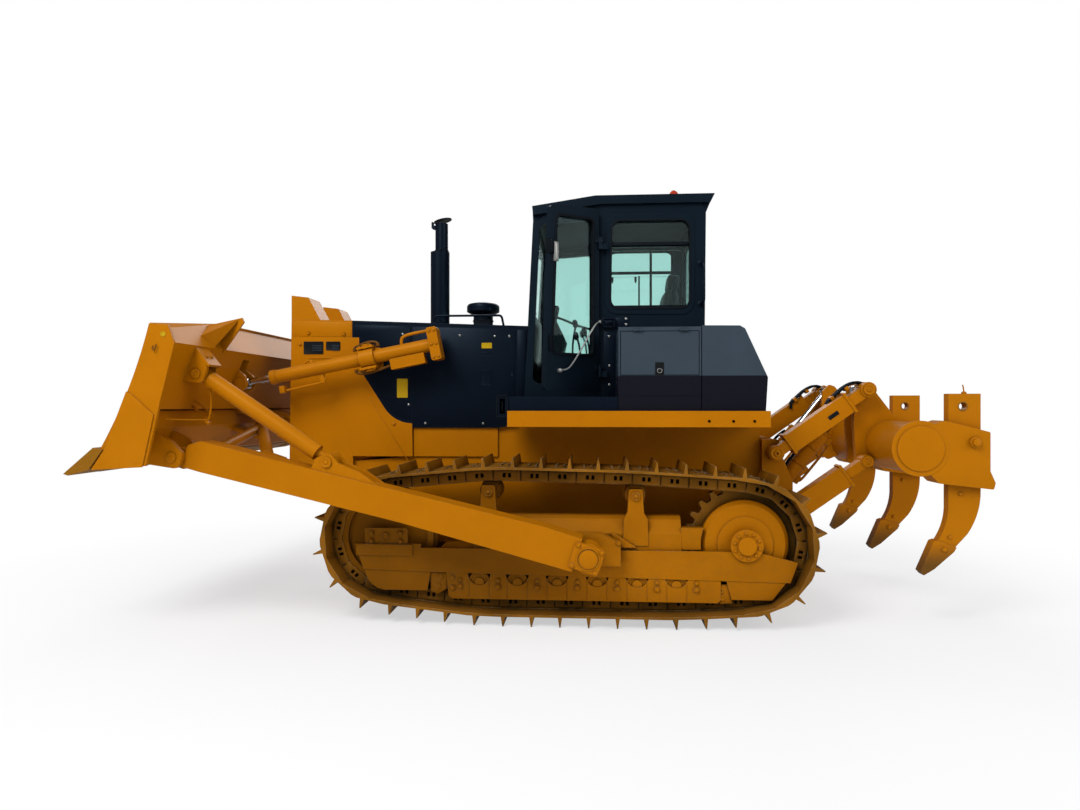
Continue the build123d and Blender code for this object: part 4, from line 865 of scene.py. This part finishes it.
def lift_details():
    lean = lean_of(YOKE, ROD_EYE)
    up = on_lift(0, 1000) - on_lift(0, 0)
    loop = pipe([(-300, 45), (-302, 100), (-345, 122), (-440, 126), (-545, 122)], 14, on_lift)
    line = pipe([(395, -88), (400, -122), (440, -126), (745, -130)], 11, on_lift)
    end = block(on_lift(772, -118), (44, 62, 62), lean)
    clip = block(on_lift(420, -92), (40, 30, 78), lean)
    boss = turned(on_lift(485, 50), up, [(22, 0), (22, 16), (14, 20), (14, 30)])
    elbow = pipe([(485, 76), (520, 84), (545, 62)], 8, on_lift)
    lines = joined([loop, line, end, clip, boss, elbow])
    keep(lines, "lift_cylinder_lines", "lift_barrels", "yellow", both=True, edge=2)
    fittings = [turned(on_lift(t, n), up * way, [(17, 0), (17, 22), (12, 22), (12, 34)], 12)
                for t, n, way in ((-100, 80, 1), (100, 76, 1), (-25, 96, 1), (120, -76, -1), (45, -96, -1))]
    hoses = [pipe([(-100, 110), (-60, 132), (20, 128), (100, 108)], 11, on_lift),
             pipe([(120, -105), (80, -128), (-60, -120), (-170, -100)], 11, on_lift)]
    keep(joined(fittings + hoses), "lift_yoke_fittings", "lift_barrels", "yellow", "rust", both=True, edge=1)
    rows = [("lift_barrels", on_lift(t, 96 * way, LIFT_Y + side), up * way, 10)
            for t in (-48, 48) for side in (-40, 40) for way in (1, -1)]
    rows += [("lift_barrels", on_lift(t, n, LIFT_Y + 60), LEFT, 11)
             for n in (112, -108, 0) for t in (-605, -562)]
    bolts("lift_cylinder_bolts", "lift_barrels", "yellow", rows)
    gland = turned(on_lift(846, 0), on_lift(900, 0) - on_lift(0, 0),
                   [(61, 0), (61, 8), (50, 8), (48, 4), (36, 4), (34, 10)], 32)
    keep(gland, "lift_rod_glands", "lift_barrels", "yellow", "edge_steel", both=True, edge=1)


lift_details()


# ------------------------------------------------------------------ engine housing

GUARD_CAP = [(3244, 2262), (3768, 2272), (3768, 2404), (3244, 2391)]
GUARD_SLOPE = (2740, 1182), (3087, 1734)        # the weld along the guard's sloping edge
GUARD_BOLTS = ((3622, 2294), (3307, 2282), (2868, 1508), (3700, 1300), (3700, 2200))
LAMP_X, LAMP_YS, LAMP_Z = 3748, (322, 448, -322, -448), 2520
DOOR_SKINS = ([(1812, 1512), (1967, 1488), (2706, 1488), (2706, 2348), (1812, 2314)],
              [(1724, 1640), (1796, 1640), (1796, 2313), (1722, 2310)],
              [(2722, 1545), (2838, 1566), (2930, 1655), (3158, 1998), (3158, 2268), (3222, 2270),
               (3222, 2366), (2722, 2348)])
DOOR_BOLTS = ((2790, 2281), (2290, 2267), (1989, 2259), (1863, 2257), (2737, 1673), (2591, 1512),
              (2090, 1512))
STACK_X, STACK_Y, BOWL_X = 2535, 100, 2166


def guard_details():
    cap = cut_plate(GUARD_CAP, GUARD_OUT - 1, GUARD_OUT + 3)
    raised = block(spot(3427, GUARD_OUT + 2, 2080), (392, 7, 14))
    weld = block(spot(2913, GUARD_OUT + 1, 1458), (651, 5, 9), lean_of(*GUARD_SLOPE))
    keep(joined([cap, raised, weld]), "guard_cap_and_seams", "chassis", "yellow", both=True)
    rows = [("radiator_guard", spot(x, GUARD_OUT, z), LEFT, 12) for x, z in GUARD_BOLTS]
    bolts("guard_bolts", "chassis", "yellow", rows)
    plates = [rimmed_plate(spot(3580, GUARD_OUT + 2, 2168), (176, 5, 111)),
              rimmed_plate(spot(3405, GUARD_OUT + 2, 2184), (127, 5, 76))]
    keep(joined(plates), "blank_guard_plates", "chassis", "dark", "plate_black", both=True, edge=0.8)


def guard_plate_slats():
    slats = [block(spot(x, GUARD_OUT + 4, z), (long, 5, 5)) for x, long in ((3545, 90), (3385, 66))
             for z in (2146, 2160, 2174, 2188)]
    keep(joined(slats), "guard_plate_slats", "chassis", "dark", "grey", both=True, edge=0.5)


def lamp_rounds(step, rings):
    """The same round piece on each headlamp, step forward of the housing's face."""
    return joined([turned(spot(LAMP_X + step, y, LAMP_Z), FORWARD, rings, 32) for y in LAMP_YS])


def headlamp_details():
    lenses = lamp_rounds(4, [(50, 0), (50, 7), (42, 11), (22, 14)])
    keep(lenses, "headlamp_lenses", "chassis", "glass", "lens", edge=0)
    mirrors = lamp_rounds(1, [(49, 0), (49, 2), (30, 1), (12, 0.5)])
    keep(mirrors, "headlamp_reflectors", "chassis", "chrome", "zinc", edge=0)
    rims = lamp_rounds(0, [(58, 0), (58, 16), (51, 16), (51, 6)])
    keep(rims, "headlamp_rims", "chassis", "dark", "rubber", edge=1)


def panel_details():
    skins = [cut_plate(outline, GUARD_OUT - 1, GUARD_OUT + 3) for outline in DOOR_SKINS]
    latch = rimmed_plate(spot(1841, GUARD_OUT + 5, 1960), (26, 8, 92), corner=8, rim=5, sink=3)
    recess = rimmed_plate(spot(2066, GUARD_OUT + 4, 1902), (94, 5, 130), corner=10, rim=6, sink=4)
    slot = block(spot(2064, GUARD_OUT + 4, 2115), (88, 4, 7))
    keep(joined(skins + [latch, recess, slot]), "engine_door_skins", "chassis", "dark", both=True)
    rows = [("engine_panels", spot(x, GUARD_OUT, z), LEFT, 10) for x, z in DOOR_BOLTS]
    bolts("engine_door_bolts", "chassis", "chrome", rows, "zinc")
    blanks = [rimmed_plate(spot(2058, GUARD_OUT + 4, 2179), (89, 4, 48), rim=3, sink=0.8),
              rimmed_plate(spot(2793, GUARD_OUT + 4, 1815), (94, 4, 164), rim=3, sink=0.8)]
    keep(joined(blanks), "blank_panel_plates", "chassis", "yellow", "plate_yellow", both=True, edge=0.5)


def hood_details():
    bowl = turned(spot(BOWL_X, 0, 2500), UP, [(96, -60), (96, -48), (91, -46)], 40)
    clamp = turned(spot(STACK_X, STACK_Y, 3062), UP, [(64, 0), (64, 26), (58, 28)], 40)
    lug = block(spot(STACK_X, STACK_Y + 72, 3076), (24, 30, 22))
    plate = rimmed_plate(spot(BOWL_X, 92, 2428), (150, 5, 60), corner=6)
    keep(joined([bowl, clamp, lug, plate]), "stack_and_bowl_clamps", "chassis", "dark", "rubber", edge=1)
    seams = [block(spot(x, 0, z), (10, 1000, 4), 2.2) for x, z in ((1990, 2357), (2900, 2392))]
    keep(joined(seams), "hood_seams", "chassis", "dark")


guard_details()
headlamp_details()
guard_plate_slats()
panel_details()
hood_details()


# ------------------------------------------------------------------ cab

WINDOW = ((350, 2466), (1010, 2466), (350, 3200), (1000, 3200))
WINDOW_OUT = 634                # y of the side windows' panes
DOOR_PANE = ((1154, 2065), (1640, 2065), (1154, 3195), (1590, 3165))
DOOR_IN, DOOR_OUT = 664, 712    # y of the closed door's faces
DOOR_AXIS, DOOR_OPEN = (1092, 712), 47      # (x, y), degrees
CAB_BOLTS = ((1017, 2239), (1015, 1995), (1015, 1839), (877, 2383), (877, 2337))
BEACON = (440, 200)             # (x, y)


def grown(corners, by):
    (x0, z0), (x1, z1), (x2, z2), (x3, z3) = corners
    return ((x0 - by, z0 - by), (x1 + by, z1 - by), (x2 - by, z2 + by), (x3 + by, z3 + by))


def swung(piece):
    """Turns a piece drawn on the closed left door out to where the door stands."""
    take(piece)
    bpy.ops.transform.rotate(value=-math.radians(DOOR_OPEN), orient_axis="Z",
                             center_override=spot(*DOOR_AXIS, 0))
    return apply_place()


def window_details():
    seal = band(grown(WINDOW, 6), 632, CAB_SIDE + 12, 17, 84)
    keep(seal, "side_window_seals", "chassis", "interior", "rubber", both=True, edge=3)
    rows = ((576, -WINDOW_OUT, 2833, 24, 720), (692, -WINDOW_OUT, 2712, 16, 490),
            (676, -WINDOW_OUT, 2484, 640, 30), (676, WINDOW_OUT, 2484, 640, 26),
            (364, -WINDOW_OUT, 2830, 26, 700), (676, -WINDOW_OUT, 2987, 650, 30), (676, 652, 3003, 664, 30))
    bars = [block(spot(x, y, z), (wide, 12, tall)) for x, y, z, wide, tall in rows]
    bars += [stepped(block(spot(x, 10 - WINDOW_OUT, 2925), (22, 20, 46)), DOWN, (4, 14)) for x in (957, 727)]
    keep(joined(bars), "side_window_bars", "chassis", "interior", "rubber", edge=1.5)


def door_trim(side):
    """Seal and handle of one door, drawn closed; side is 1 on the left and -1 on the right."""
    near, far = sorted((DOOR_IN * side, DOOR_OUT * side))
    seal = band(grown(DOOR_PANE, 4), near, far, 22, 64)
    handle = stepped(block(spot(1652, 716 * side, 2150), (28, 22, 120)), (0, side, 0), (7, -8))
    return [seal, handle]


def door_details():
    trim = door_trim(1)
    trim.append(stepped(block(spot(1640, 690, 2900), (52, 46, 120)), LEFT, (10, 12)))
    latch = stepped(block(spot(1602, 714, 2862), (44, 22, 150)), LEFT, (8, 10))
    keep(swung(latch), "left_door_latch", "door_left", "chrome", "zinc", edge=1.5)
    keep(swung(joined(trim)), "left_door_seal_and_handle", "door_left", "interior", "rubber", edge=2)
    keep(joined(door_trim(-1)), "right_door_seal_and_handle", "door_right", "interior", "rubber", edge=2)


def door_stay():
    rod = pipe([(1112, 726, 2352), (1150, 738, 2345), (1200, 738, 2300), (1330, 732, 2120), (1440, 730, 1985),
                (1500, 730, 1945), (1560, 726, 1940)], 7)
    ends = [turned(spot(1560, 700, 1940), LEFT, [(18, 0), (18, 26), (12, 30), (12, 36)], 16),
            turned(spot(1112, 722, 2352), LEFT, [(14, 0), (14, 12), (9, 15)], 16)]
    keep(swung(joined([rod] + ends)), "door_stay", "door_left", "chrome", "zinc", edge=1)


def cab_side_details():
    latch = stepped(block(spot(1020, CAB_SIDE + 20, 2348), (106, 42, 82)), LEFT, (12, -10), (14, 14))
    knob = turned(spot(1006, CAB_SIDE + 40, 2352), LEFT,
                  [(15, 0), (15, 18), (9, 22), (9, 34), (13, 36), (13, 42)], 18)
    strip = cut_plate([(968, 1742), (1062, 1742), (1062, 2282), (968, 2282)], CAB_SIDE - 1, CAB_SIDE + 5)
    tab = cut_plate([(850, 2310), (965, 2300), (965, 2392), (850, 2402)], CAB_SIDE - 1, CAB_SIDE + 6)
    grip = pipe([(262, 660, 2835), (262, 700, 2835), (250, 722, 2820), (250, 722, 2760), (250, 722, 2580),
                 (250, 722, 2515), (262, 700, 2500), (262, 660, 2500)], 13)
    feet = [turned(spot(262, 658, z), LEFT, [(30, 0), (30, 6), (20, 9)], 20) for z in (2500, 2835)]
    fittings = joined([latch, knob, strip, tab, grip] + feet)
    keep(fittings, "cab_side_fittings", "chassis", "dark", both=True, edge=2)
    rows = [("cab_body", spot(x, CAB_SIDE, z), LEFT, 11) for x, z in CAB_BOLTS]
    bolts("cab_side_bolts", "chassis", "chrome", rows, "zinc")
    # bolt heads on the deck beam, drawn in near-black painted shade
    rows = [("fenders", spot(x, DECK_EDGE, 1548), LEFT, 8) for x in (280, 100, -55)]
    bolts("deck_beam_bolts", "chassis", "yellow", rows, "painted_shade_black")


def roof_details():
    base = turned(spot(*BEACON, 3400), UP, [(62, 0), (62, 18), (52, 24), (50, 30)], 32)
    keep(base, "lamp_base", "chassis", "dark", edge=2)
    foot = spot(*BEACON, 3424)
    dome = [turned(foot, UP, [(50, 0), (51, 60), (46, 98), (34, 126), (16, 142), (6, 146)], 32)]
    dome += [turned(foot, UP, [(52, z), (52.6, z + 5), (52, z + 10)], 32) for z in (10, 30, 50)]
    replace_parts(keep(joined(dome), "beacon_dome", "chassis", "beacon", edge=1), "beacon")
    wiper = [pipe([(1702, 20, 2470), (1706, 60, 2620), (1700, 120, 2900)], 6),
             block(spot(1702, 128, 2760), (10, 16, 420), 2),
             turned(spot(1690, 20, 2458), FORWARD, [(26, 0), (26, 14), (16, 22)])]
    keep(joined(wiper), "front_wiper", "chassis", "interior", "rubber", edge=1)


window_details()
door_details()
door_stay()
cab_side_details()
roof_details()


# ------------------------------------------------------------------ operator's place

SEAT_LEAN, BACK_LEAN = 4, 98    # degrees
SEAT_SHELL = [(520, 2020), (1040, 2040), (1040, 2010), (560, 1985), (470, 2080), (420, 2760), (450, 2770)]
DASH = [(1395, 1735), (1600, 1735), (1600, 2390), (1560, 2440), (1480, 2430), (1400, 2260), (1440, 2100)]
ROOF_LINER = [(300, 3288), (1080, 3288), (1540, 3222), (1540, 3214), (1080, 3276), (300, 3276)]
# levers as x, y, z, height and reach; their grips as bend, sunk, way, rings and sides of lever()
LONG_GRIP = (0.5, 30, (0.15, 0, 1), [(14, 0), (24, 22), (27, 55), (22, 84), (10, 94)], 16)
SHORT_GRIP = (0.6, 20, (0.2, 0, 1), [(12, 0), (22, 18), (24, 44), (18, 66), (8, 74)], 14)
SEAT_BASE_CUTS = (1.80, 1.86, 1.92, 1.96)
CONSOLE_LEVERS = ((980, 450, 2215, 190, 30), (930, -450, 2215, 230, 20), (1010, -420, 2215, 170, 30))
STAND_LEVERS = ((1180, 380, 2060, 230, 40), (1260, 400, 2050, 200, 30), (1330, 360, 2100, 260, -30),
                (1210, -380, 2080, 260, 40))


def cushion(name, middle, size, lean):
    """Stuffed pad: a subdivided block, crowned by smoothing."""
    pad = block(middle, size, lean)
    with editing(pad):
        select_all()
        bpy.ops.mesh.subdivide(number_cuts=5)
        select_all()
        bpy.ops.mesh.vertices_smooth(factor=0.5, repeat=3)
    modified(pad, "SUBSURF", levels=2, render_levels=2)
    keep(pad, name, "chassis", "interior", "cloth", edge=0)


def seat_cushions():
    cushion("seat_cushion", spot(790, 0, 2085), (560, 560, 150), SEAT_LEAN)
    cushion("seat_back", spot(492, 0, 2395), (600, 520, 140), BACK_LEAN)
    cushion("seat_headrest", spot(432, 0, 2772), (140, 280, 105), BACK_LEAN)
    for side, name in ((1, "arm_rest_left"), (-1, "arm_rest_right")):
        cushion(name, spot(720, 330 * side, 2290), (360, 90, 80), 2)


def lever(x, y, z, tall, reach, bend, sunk, way, rings, sides):
    """Bent rod that stands upright for the share bend of its height, its tip sunk in a knob."""
    rod = pipe([(x, y, z), (x, y, z + tall * bend), (x + reach, y, z + tall)], 9)
    return [rod, turned(spot(x + reach, y, z + tall - sunk), way, rings, sides)]


def dashboard():
    dash = cut_plate(DASH, -330, 330)
    with editing(dash):
        pick(lambda middle, normal: normal.x < -0.7 and middle.z > 2.2)
        bpy.ops.mesh.inset(thickness=0.03)
        bpy.ops.transform.translate(value=(0.012, 0, -0.006))
    screen = stepped(block(spot(1490, 150, 2490), (40, 190, 130), 12), BACK, (12, -6))
    return [dash, screen]


def seat_base():
    """Block under the seat, ringed by cuts, with a flush band low on its sides."""
    base = block(spot(790, 0, 1870), (460, 440, 270))
    with editing(base):
        for z in SEAT_BASE_CUTS:
            select_all()
            bpy.ops.mesh.bisect(plane_co=(0, 0, z), plane_no=(0, 0, 1))
        pick(lambda middle, normal: abs(normal.z) < 0.1 and SEAT_BASE_CUTS[0] < middle.z < SEAT_BASE_CUTS[1])
        bpy.ops.mesh.inset(thickness=0.012)
        raise_by((0, 0, 0))
    return base


def operator_room():
    parts = [seat_base(), cut_plate(SEAT_SHELL, -265, 265)]
    parts += dashboard()
    parts += [block(spot(1000, 0, 1742), (1180, 1180, 8)), cut_plate(ROOF_LINER, -600, 600)]
    for side in (1, -1):
        parts.append(block(spot(680, 330 * side, 2150), (60, 70, 230)))
        parts.append(stepped(block(spot(800, 470 * side, 2000), (620, 150, 420)), UP, (20, 20)))
    for x, y, z, tall, reach in CONSOLE_LEVERS:
        parts += lever(x, y, z, tall, reach, *LONG_GRIP)
        parts.append(turned(spot(x, y, z - 4), UP, [(38, 0), (34, 14), (20, 34), (12, 44)], 16))
    for place in STAND_LEVERS:
        parts += lever(*place, *SHORT_GRIP)
    parts.append(pipe([(1600, -420, 2560), (1420, -430, 2500), (1300, -450, 2440), (1130, -470, 2400)], 12))
    parts.append(stepped(block(spot(1265, 380, 1900), (260, 110, 330)), UP, (18, 16)))
    for y in (-120, 90):
        parts.append(block(spot(1330, y, 1830), (90, 110, 16), 50))
        parts.append(pipe([(1400, y, 1760), (1365, y, 1790), (1335, y, 1824)], 10))
    room = keep(joined(parts), "seat_base_dash_and_levers", "chassis", "interior", edge=5)
    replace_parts(room, "operator_station")


seat_cushions()
operator_room()


# ------------------------------------------------------------------ boxes beside the cab

LATCH_X, LOCK_Z = 645, 1930
STEP_POCKET = ((1800, 1575), (1893, 1575), (1800, 1745), (1893, 1745))


def box_details():
    plate = rimmed_plate(spot(LATCH_X, 1151, 1946), (66, 6, 98), corner=6, rim=4, sink=2)
    lock = turned(spot(LATCH_X, 1151, LOCK_Z), LEFT, [(19, 0), (19, 8), (13, 10), (13, 14)], 24)
    slot = block(spot(LATCH_X, 1166, LOCK_Z), (4, 3, 14))
    keep(joined([plate, lock, slot]), "tool_box_latch", "box_door", "dark", "plate_black", edge=0.8)
    ring = turned(spot(LATCH_X, 1160, LOCK_Z), LEFT, [(20, 0), (20, 4), (16, 5), (16, 3)], 24)
    keep(ring, "tool_box_lock_ring", "box_door", "chrome", "zinc", edge=0)
    step = band(STEP_POCKET, 1158, 1172, 9, 16)
    cable = pipe([(1842, 1120, 1604), (1838, 1150, 1625), (1856, 1152, 1650), (1842, 1150, 1672),
                  (1854, 1148, 1692), (1848, 1120, 1712)], 5)
    studs = [turned(spot(x, 1000, 1732), UP, [(9, 0), (9, 6), (5, 9)], 10) for x in (1040, 1320, 1560, 1720)]
    keep(joined([step, cable] + studs), "step_box_rim", "chassis", "dark", "rubber", both=True, edge=1.5)
    seams = [block(spot(957, 1151, 1760), (5, 4, 268)), block(spot(644, 1151, 1742), (600, 4, 5))]
    keep(joined(seams), "side_box_seams", "chassis", "grey", edge=0.8)
    cap = turned(spot(120, 600, 2262), UP, [(70, 0), (70, 26), (60, 34), (60, 46), (20, 50)], 32)
    keep(cap, "fuel_filler_cap", "chassis", "dark", edge=1.5)


box_details()


# ------------------------------------------------------------------ ripper

LINK_FRONT, LINK_REAR = (-339, 1277), (-1066, 1794)
ARM_FRONT, ARM_REAR = (-330, 698), (-1057, 1215)
CYLINDER_FOOT, CYLINDER_Y = (-420, 980), 430
PIN_END = 698                   # y of the links' and arms' outer faces
SHANK_YS, SHANK_PIN = (-1043, 0, 1043), (-1660, 1395)
SHANK_BOLTS = ((-1590, 1005, 13), (-1512, 680, 12), (-1470, 588, 15))
FRONT_HEAD = [(52, 0), (52, 10), (40, 10), (39, 7), (24, 7), (22, 16), (9, 16), (8, 10)]
REAR_HEAD = [(44, 0), (44, 8), (30, 8), (29, 5), (18, 5), (16, 12), (8, 12), (7, 8)]


def pin_heads(places, rings):
    return joined([turned(spot(x, PIN_END, z), LEFT, rings, 32) for x, z in places])


def ripper_pins():
    front = pin_heads((LINK_FRONT, ARM_FRONT), FRONT_HEAD)
    keep(front, "ripper_front_pin_heads", "chassis", "yellow", both=True, edge=1)
    rear = pin_heads((LINK_REAR, ARM_REAR), REAR_HEAD)
    keep(rear, "ripper_rear_pin_heads", "ripper_tool", "yellow", both=True, edge=1)
    x, z = SHANK_PIN
    washers = [turned(spot(x, y + 121, z), LEFT, [(40, 0), (40, 6), (34, 10)]) for y in SHANK_YS]
    keep(joined(washers), "shank_pin_washers", "ripper_tool", "yellow", edge=1)
    rows = [("ripper_beam", spot(x, y + 122, z), LEFT, 30) for y in SHANK_YS]
    bolts("shank_pin_nuts", "ripper_tool", "yellow", rows, both=False)


def shank_details():
    rows = []
    for y in SHANK_YS:
        for x, z, size in SHANK_BOLTS:
            rows.append(("ripper_shanks", spot(x, y + 46, z), LEFT, size))
            rows.append(("ripper_shanks", spot(x, y - 46, z), RIGHT, size))
    bolts("shank_bolts", "ripper_tool", "yellow", rows, both=False)
    rings = [hoop(spot(-1610, y + side, 1660), LEFT, 33, 4) for y in SHANK_YS for side in (38, -38)]
    keep(joined(rings), "shank_bore_rings", "ripper_tool", "yellow", "edge_steel", edge=0)
    tag = pipe([(-1636, 1040, 1750), (-1636, 1040, 1800), (-1626, 1040, 1822)], 5)
    foot = turned(spot(-1636, 1040, 1753), UP, [(20, 0), (18, 12), (9, 20)], 16)
    keep(joined([tag, foot]), "shank_pin_ring", "ripper_tool", "yellow", edge=1)


def on_link_bar(t, n, y):
    """The point t from the front pin of a ripper link towards its rear pin and n across it."""
    return along(LINK_FRONT, LINK_REAR, t, n, y)


def link_details():
    lean = lean_of(LINK_FRONT, LINK_REAR)
    plate = rimmed_plate(on_link_bar(545, 8, 694), (92, 5, 32), lean, corner=3, rim=2, sink=0.8)
    keep(plate, "blank_link_plate", "ripper_links", "dark", "plate_black", edge=0.5)
    hoses = [pipe([(560, -40, y), (580, -84, y), (660, -98, y), (760, -112, y), (850, -104, y), (905, -66, y),
                   (915, -30, y)], 12, on_link_bar) for y in (540, 568, 596)]
    keep(joined(hoses), "ripper_link_hoses", "ripper_links", "dark", "rubber", both=True, edge=0)
    clips = [block(on_link_bar(t, -92, 568), (30, 86, 34), lean) for t in (640, 780)]
    keep(joined(clips), "ripper_hose_clips", "ripper_links", "yellow", both=True, edge=2)
    # the grease point's bore is drawn in near-black painted shade
    bore = turned(on_link_bar(0, 0, 716), LEFT, [(6, 0), (6, 2), (2, 2)], 12)
    keep(bore, "ripper_grease_point", "ripper_links", "yellow", "painted_shade_black", both=True, edge=0)


def on_cylinder(t, n, y=CYLINDER_Y):
    """The point t from a ripper cylinder's foot towards its rod eye and n across its axis."""
    return along(CYLINDER_FOOT, LINK_REAR, t, n, y)


def ripper_cylinder_details():
    lean, way = lean_of(CYLINDER_FOOT, LINK_REAR), on_cylinder(1000, 0) - on_cylinder(0, 0)
    lines = [block(on_cylinder(t, 70), (70, 60, 50), lean) for t in (140, 545)]
    lines.append(pipe([(140, 96), (150, 108), (300, 108), (530, 108), (545, 96)], 11, on_cylinder))
    lines += [hoop(on_cylinder(t, 0), way, 67, 7) for t in (250, 420, 575)]
    keep(joined(lines), "ripper_cylinder_lines", "ripper_barrels", "yellow", both=True, edge=2)
    hose = pipe([(120, -62, 452), (170, -88, 466), (330, -84, 470), (450, -88, 466), (520, -64, 452)], 13,
                on_cylinder)
    keep(hose, "ripper_cylinder_hoses", "ripper_barrels", "dark", "rubber", both=True, edge=0)
    gland = turned(on_cylinder(588, 0), way, [(60, 0), (60, 10), (48, 10), (46, 4), (36, 4), (34, 12)], 32)
    keep(gland, "ripper_rod_glands", "ripper_barrels", "yellow", "edge_steel", both=True, edge=1)


ripper_pins()
shank_details()
link_details()
ripper_cylinder_details()


# ------------------------------------------------------------------ stage

FLOOR_SIZE, FADE_FROM, FADE_TO = 160, 2.6, 6.5      # metres; the floor fades to white between the two
AIM = Vector((0, 0, 1.2))                           # where the lamps point
LAMPS = (("key", (4.0, 8.0, 9.0), 900, 5, 1.0), ("fill", (-9.0, 6.0, 5.0), 300, 6, 1.0),
         ("back", (0.0, -9.0, 8.0), 450, 6, 0.15))  # name, place, watts, size, share of shine
EYE, EYE_YAW, EYE_LENS, SENSOR = (SPROCKET_X + 1.148, 6.885, 1.670), math.radians(4.07), 24.93, 36


def added(tree, *kinds):
    return [tree.nodes.new("ShaderNode" + kind) for kind in kinds]


def mixed(tree, share, first, second, surface):
    """Leads a mix of two shaders to a surface."""
    mix = tree.nodes.new("ShaderNodeMixShader")
    for source, socket in zip((share, first, second), mix.inputs):
        tree.links.new(source, socket)
    tree.links.new(mix.outputs["Shader"], surface)


def floor():
    """Pale floor that fades into the white around it and keeps the machine's shadow."""
    bpy.ops.mesh.primitive_plane_add(size=FLOOR_SIZE, location=(0, 0, -0.002))
    ground = bpy.context.object
    ground.name = "floor"
    made, tree, bsdf = new_material("pale_floor")
    bsdf.inputs["Base Color"].default_value = (0.86, 0.86, 0.86, 1)
    bsdf.inputs["Roughness"].default_value = 0.9
    far, path, paper = added(tree, "VectorMath", "LightPath", "Emission")
    far.operation = "LENGTH"
    tree.links.new(object_place(tree), far.inputs[0])
    glossy = path.outputs["Is Glossy Ray"]
    seen = math_node(tree, "MAXIMUM", math_node(tree, "MAXIMUM", path.outputs["Is Camera Ray"], glossy),
                     path.outputs["Is Transmission Ray"])
    whiter = spread(tree, far.outputs["Value"], FADE_FROM, FADE_TO, 0.55, 1.0)
    fade = math_node(tree, "MULTIPLY", whiter, seen)
    dimmed = math_node(tree, "MULTIPLY", glossy, -0.75)
    tree.links.new(math_node(tree, "ADD", dimmed, 1.0), paper.inputs["Strength"])
    mixed(tree, math_node(tree, "MAXIMUM", fade, glossy), bsdf.outputs["BSDF"], paper.outputs["Emission"],
          tree.nodes["Material Output"].inputs["Surface"])
    ground.data.materials.append(made)


def studio_world():
    """Soft light all round, which is seen as plain white."""
    world = bpy.data.worlds.new("studio")
    bpy.context.scene.world = world
    world.use_nodes = True
    tree = world.node_tree
    tree.nodes.clear()
    out, path, soft, white = added(tree, "OutputWorld", "LightPath", "Background", "Background")
    soft.inputs["Color"].default_value = (0.9, 0.95, 1.0, 1)
    dimmed = math_node(tree, "MULTIPLY", path.outputs["Is Glossy Ray"], -0.3)
    tree.links.new(math_node(tree, "ADD", dimmed, 0.5), soft.inputs["Strength"])
    white.inputs["Color"].default_value = (1, 1, 1, 1)
    white.inputs["Strength"].default_value = 1.0
    seen = math_node(tree, "MAXIMUM", path.outputs["Is Camera Ray"], path.outputs["Is Transmission Ray"])
    mixed(tree, seen, soft.outputs[0], white.outputs[0], out.inputs["Surface"])


def aimed(name, data, place, look):
    """New lamp or camera that looks along a way."""
    holder = bpy.data.objects.new(name, data)
    bpy.context.scene.collection.objects.link(holder)
    holder.location = place
    holder.rotation_euler = look.to_track_quat("-Z", "Y").to_euler()
    return holder


def lamps():
    for name, place, watts, size, shine in LAMPS:
        lamp = bpy.data.lights.new(name, "AREA")
        lamp.energy, lamp.size, lamp.specular_factor = watts, size, shine
        aimed(name, lamp, place, AIM - Vector(place))


def camera():
    data = bpy.data.cameras.new("camera")
    data.sensor_width, data.lens = SENSOR, EYE_LENS
    look = Vector((math.sin(EYE_YAW), -math.cos(EYE_YAW), 0))
    bpy.context.scene.camera = aimed("camera", data, EYE, look)


bpy.data.objects.remove(BOLT)
floor()
studio_world()
lamps()
camera()
bpy.context.scene.view_settings.view_transform = "Standard"
